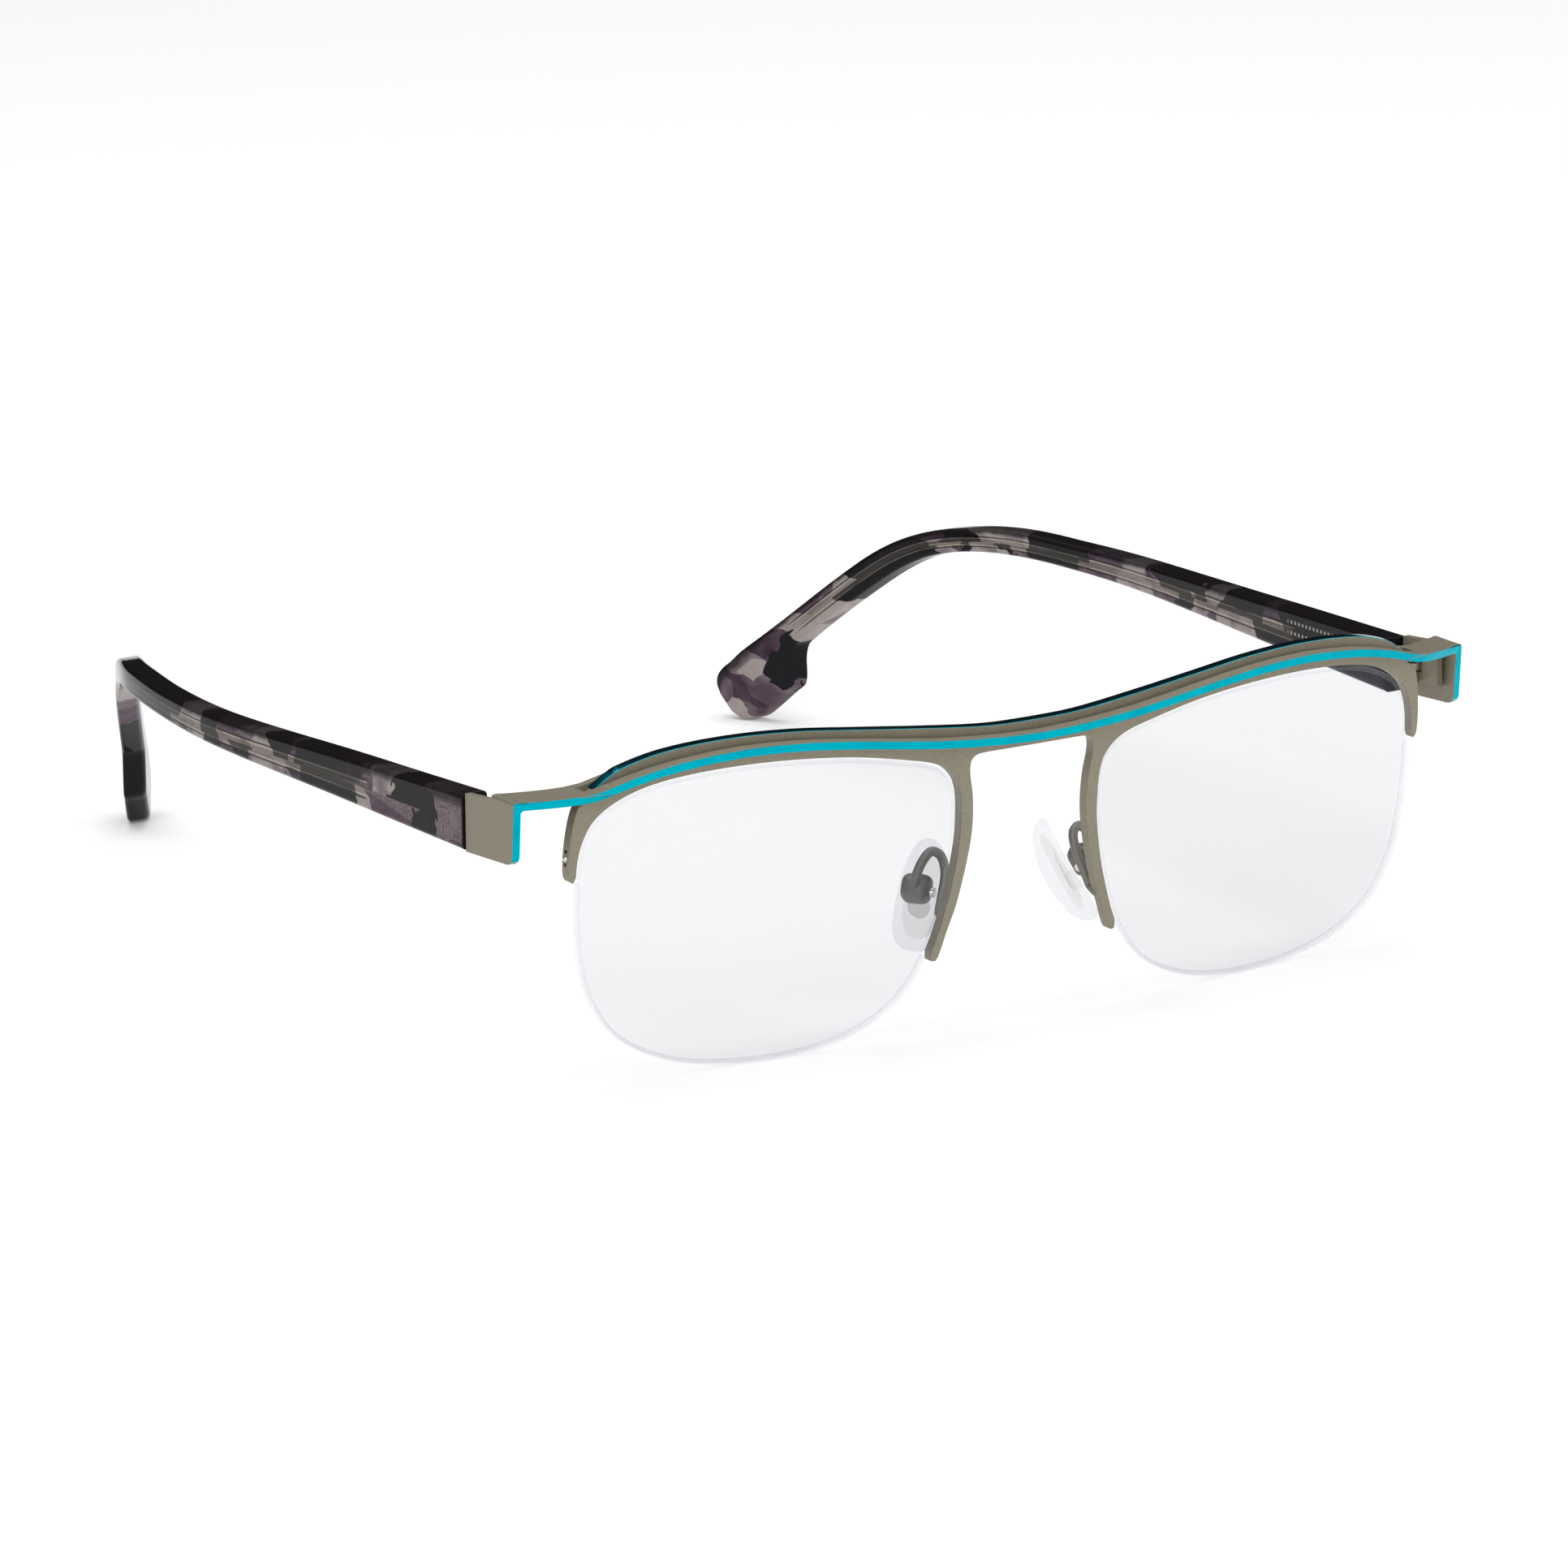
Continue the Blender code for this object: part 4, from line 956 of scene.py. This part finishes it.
def make_temple(side, word, finish):
    """The acetate; its material reads each point's depth, distance along and height."""
    tops = smooth_path([top for top, bottom in TEMPLE_SIDE], 6)
    bottoms = smooth_path([bottom for top, bottom in TEMPLE_SIDE], 6)
    stations = [(t, b, 0.0) for t, b in zip(tops, bottoms)]
    run_in = (tops[1] - tops[0]).normalized()
    stations[0] = (tops[0], bottoms[0], 0.16)
    stations.insert(1, (tops[0] + run_in * 0.16, bottoms[0] + run_in * 0.16, 0.0))
    end = Vector((0.62, -0.78))
    for push, inset in ((0.2, 0.25), (0.3, 0.7)):
        stations.append((tops[-1] + end * push, bottoms[-1] + end * push, inset))
    distance = 0.0
    rings = []
    flows = []
    last = None
    for top, bottom, inset in stations:
        middle = (top + bottom) / 2
        if last is not None:
            distance += (middle - last).length
        last = middle
        ring = rounded_ring(top, bottom, inset)
        rings.append([p for p, x, z in ring])
        flows.append([Vector((x, distance, z)) for p, x, z in ring])
    bm = bmesh.new()
    layer = bm.verts.layers.float_vector.new("flow")
    loops = []
    for ring, values in zip(rings, flows):
        loop = []
        for point, value in zip(ring, values):
            vertex = bm.verts.new(point)
            vertex[layer] = value
            loop.append(vertex)
        loops.append(loop)
    for low, high in zip(loops, loops[1:]):
        for i in range(len(low)):
            j = (i + 1) % len(low)
            bm.faces.new((low[i], low[j], high[j], high[i]))
    for loop in (loops[0], loops[-1]):
        bm.faces.new(loop)
    bmesh.ops.recalc_face_normals(bm, faces=bm.faces)
    piece(
        bm, "temple_shell_" + word, [finish], "temple_" + word + "_arm",
        ["temple_" + word], side, 50,
    )


def make_core(side, word):
    """The flat wire inside the temple, with chamfered edges."""
    path = smooth_path(CORE_LINE, 8)
    rings = []
    outer = -(TEMPLE_THICKNESS - CORE_THICKNESS) / 2
    for i, point in enumerate(path):
        run = path[min(i + 1, len(path) - 1)] - path[max(i - 1, 0)]
        normal = Vector((-run.y, run.x)).normalized() * CORE_HALF
        ring = []
        for x, sign in (
            (outer - 0.15, -1), (outer, -0.8), (outer, 0.8), (outer - 0.15, 1),
            (outer - CORE_THICKNESS + 0.15, 1), (outer - CORE_THICKNESS, 0.8),
            (outer - CORE_THICKNESS, -0.8), (outer - CORE_THICKNESS + 0.15, -1),
        ):
            place = point + normal * sign
            ring.append(bend_temple(Vector((x, place.x, place.y))))
        rings.append(ring)
    bm = ring_solid(rings)
    piece(
        bm, "core_wire_" + word, [CORE], "temple_" + word + "_arm",
        ["temple_core_" + word], side, 60,
    )


make_plate()
make_ribbon()
for side, word, finish in ((1, "left", ACETATE_LEFT), (-1, "right", ACETATE_RIGHT)):
    make_lens(side, word)
    make_cord(side, word)
    make_cord_end(side, word)
    make_pad_arm(side, word)
    make_pad_box(side, word)
    make_pad_screw(side, word)
    make_nose_pad(side, word)
    make_pad_insert(side, word)
    make_temple(side, word, finish)
    make_core(side, word)
    arm = "temple_" + word + "_arm"
    refined("front_hinge_" + word, "hinge_fixed_" + word, [KHAKI], "front", 0.1)
    refined("hinge_screw_" + word, "hinge_pin_" + word, [STEEL], "front", 0.08)
    refined("temple_hinge_" + word, "hinge_leaf_" + word, [CORE], arm, 0.08)


# ---------------------------------------------------------------- the stage

FLOOR_GLOW = 0.09
FLOOR_DROP = 0.0002      # metres below the lowest point
ROOM = ((0.0, 0.01), (0.5, 0.03), (0.8, 0.9), (1.0, 1.25))   # brightness by height
CAMERA_RIGHT = Vector((0.8533, -0.5215, 0.0))
CAMERA_UP = Vector((0.1372, 0.2244, 0.9648))
CAMERA_PLACE = (-0.030851, 0.030175, 1.175742)   # metres right, up and back from the bridge
CAMERA_ROLL = math.radians(-0.55)
FOCAL_LENGTH = 216.7
SENSOR_WIDTH = 36


def make_floor():
    bm = bmesh.new()
    bmesh.ops.create_grid(bm, x_segments=8, y_segments=8, size=6.0)
    mesh = bpy.data.meshes.new("floor")
    bm.to_mesh(mesh)
    bm.free()
    look = look_of("floor_white")
    place = look.place((1, 1, 1))
    tone = look.greys(look.noise(place, 0.7, 2), [(0.2, 0.90), (0.8, 0.92)])
    paper = look.shader(
        {"Base Color": tone},
        {"Roughness": 0.9, "Specular IOR Level": 0.1, "Emission Color": (1.0, 1.0, 1.0, 1.0),
         "Emission Strength": FLOOR_GLOW},
    )
    mesh.materials.append(look.show(paper))
    floor = bpy.data.objects.new("floor", mesh)
    bpy.context.scene.collection.objects.link(floor)
    floor.location.z = cad_box[0].z - FLOOR_DROP


def make_world():
    """A white backdrop for the camera, and a room with a bright front for the reflections."""
    look = Nodes(bpy.data.worlds.new("studio"), "ShaderNodeOutputWorld")
    where = look.node("TexCoord").outputs["Generated"]
    parts = look.node("SeparateXYZ", {0: where})
    room = look.ramp(parts.outputs[2], [(z, (v, v, v * 1.01)) for z, v in ROOM])
    front = look.node("MapRange", {0: parts.outputs[1]}, {1: 0.15, 2: -0.45}).outputs[0]
    walls = look.mix(front, room, (1.0, 1.0, 1.01))
    light = look.node("Background", {0: walls}, {1: 0.7})
    backdrop = look.node("Background", values={0: (0.97, 0.97, 0.98, 1)})
    seen = look.node("LightPath").outputs["Is Camera Ray"]
    both = look.node("MixShader", {0: seen, 1: light.outputs[0], 2: backdrop.outputs[0]})
    bpy.context.scene.world = look.show(both)


def make_light(name, place, aim, size, power):
    data = bpy.data.lights.new(name, "AREA")
    data.shape = "RECTANGLE"
    data.size, data.size_y = size
    data.energy = power
    light = bpy.data.objects.new(name, data)
    bpy.context.scene.collection.objects.link(light)
    light.location = place
    light.rotation_mode = "QUATERNION"
    light.rotation_quaternion = (Vector(aim) - Vector(place)).to_track_quat("-Z", "Y")


def make_camera():
    right = CAMERA_RIGHT.normalized()
    back = right.cross(CAMERA_UP).normalized()
    up = back.cross(right).normalized()
    roll = Matrix.Rotation(CAMERA_ROLL, 4, back)
    across, above, away = CAMERA_PLACE
    place = right * across + up * above + back * away + Vector((0, FRONT_Y * MM, 0))
    data = bpy.data.cameras.new("camera")
    data.lens = FOCAL_LENGTH
    data.sensor_width = SENSOR_WIDTH
    data.clip_start = 0.05
    data.clip_end = 30
    camera = bpy.data.objects.new("camera", data)
    bpy.context.scene.collection.objects.link(camera)
    turn = Matrix((right, up, back)).transposed().to_4x4()
    camera.matrix_world = Matrix.Translation(place) @ roll @ turn
    bpy.context.scene.camera = camera


make_floor()
make_world()
make_light("overhead", (0.0, 0.1, 1.1), (0, 0, 0), (1.4, 1.0), 7.7)
make_light("front_left", (-0.9, -0.9, 0.7), (0, -0.05, 0.02), (0.7, 0.7), 4.9)
make_light("front_right", (0.9, -0.8, 0.6), (0, -0.05, 0.02), (0.5, 0.8), 2.8)
make_camera()
settings = bpy.context.scene.view_settings
settings.view_transform = "Standard"
settings.look = "None"
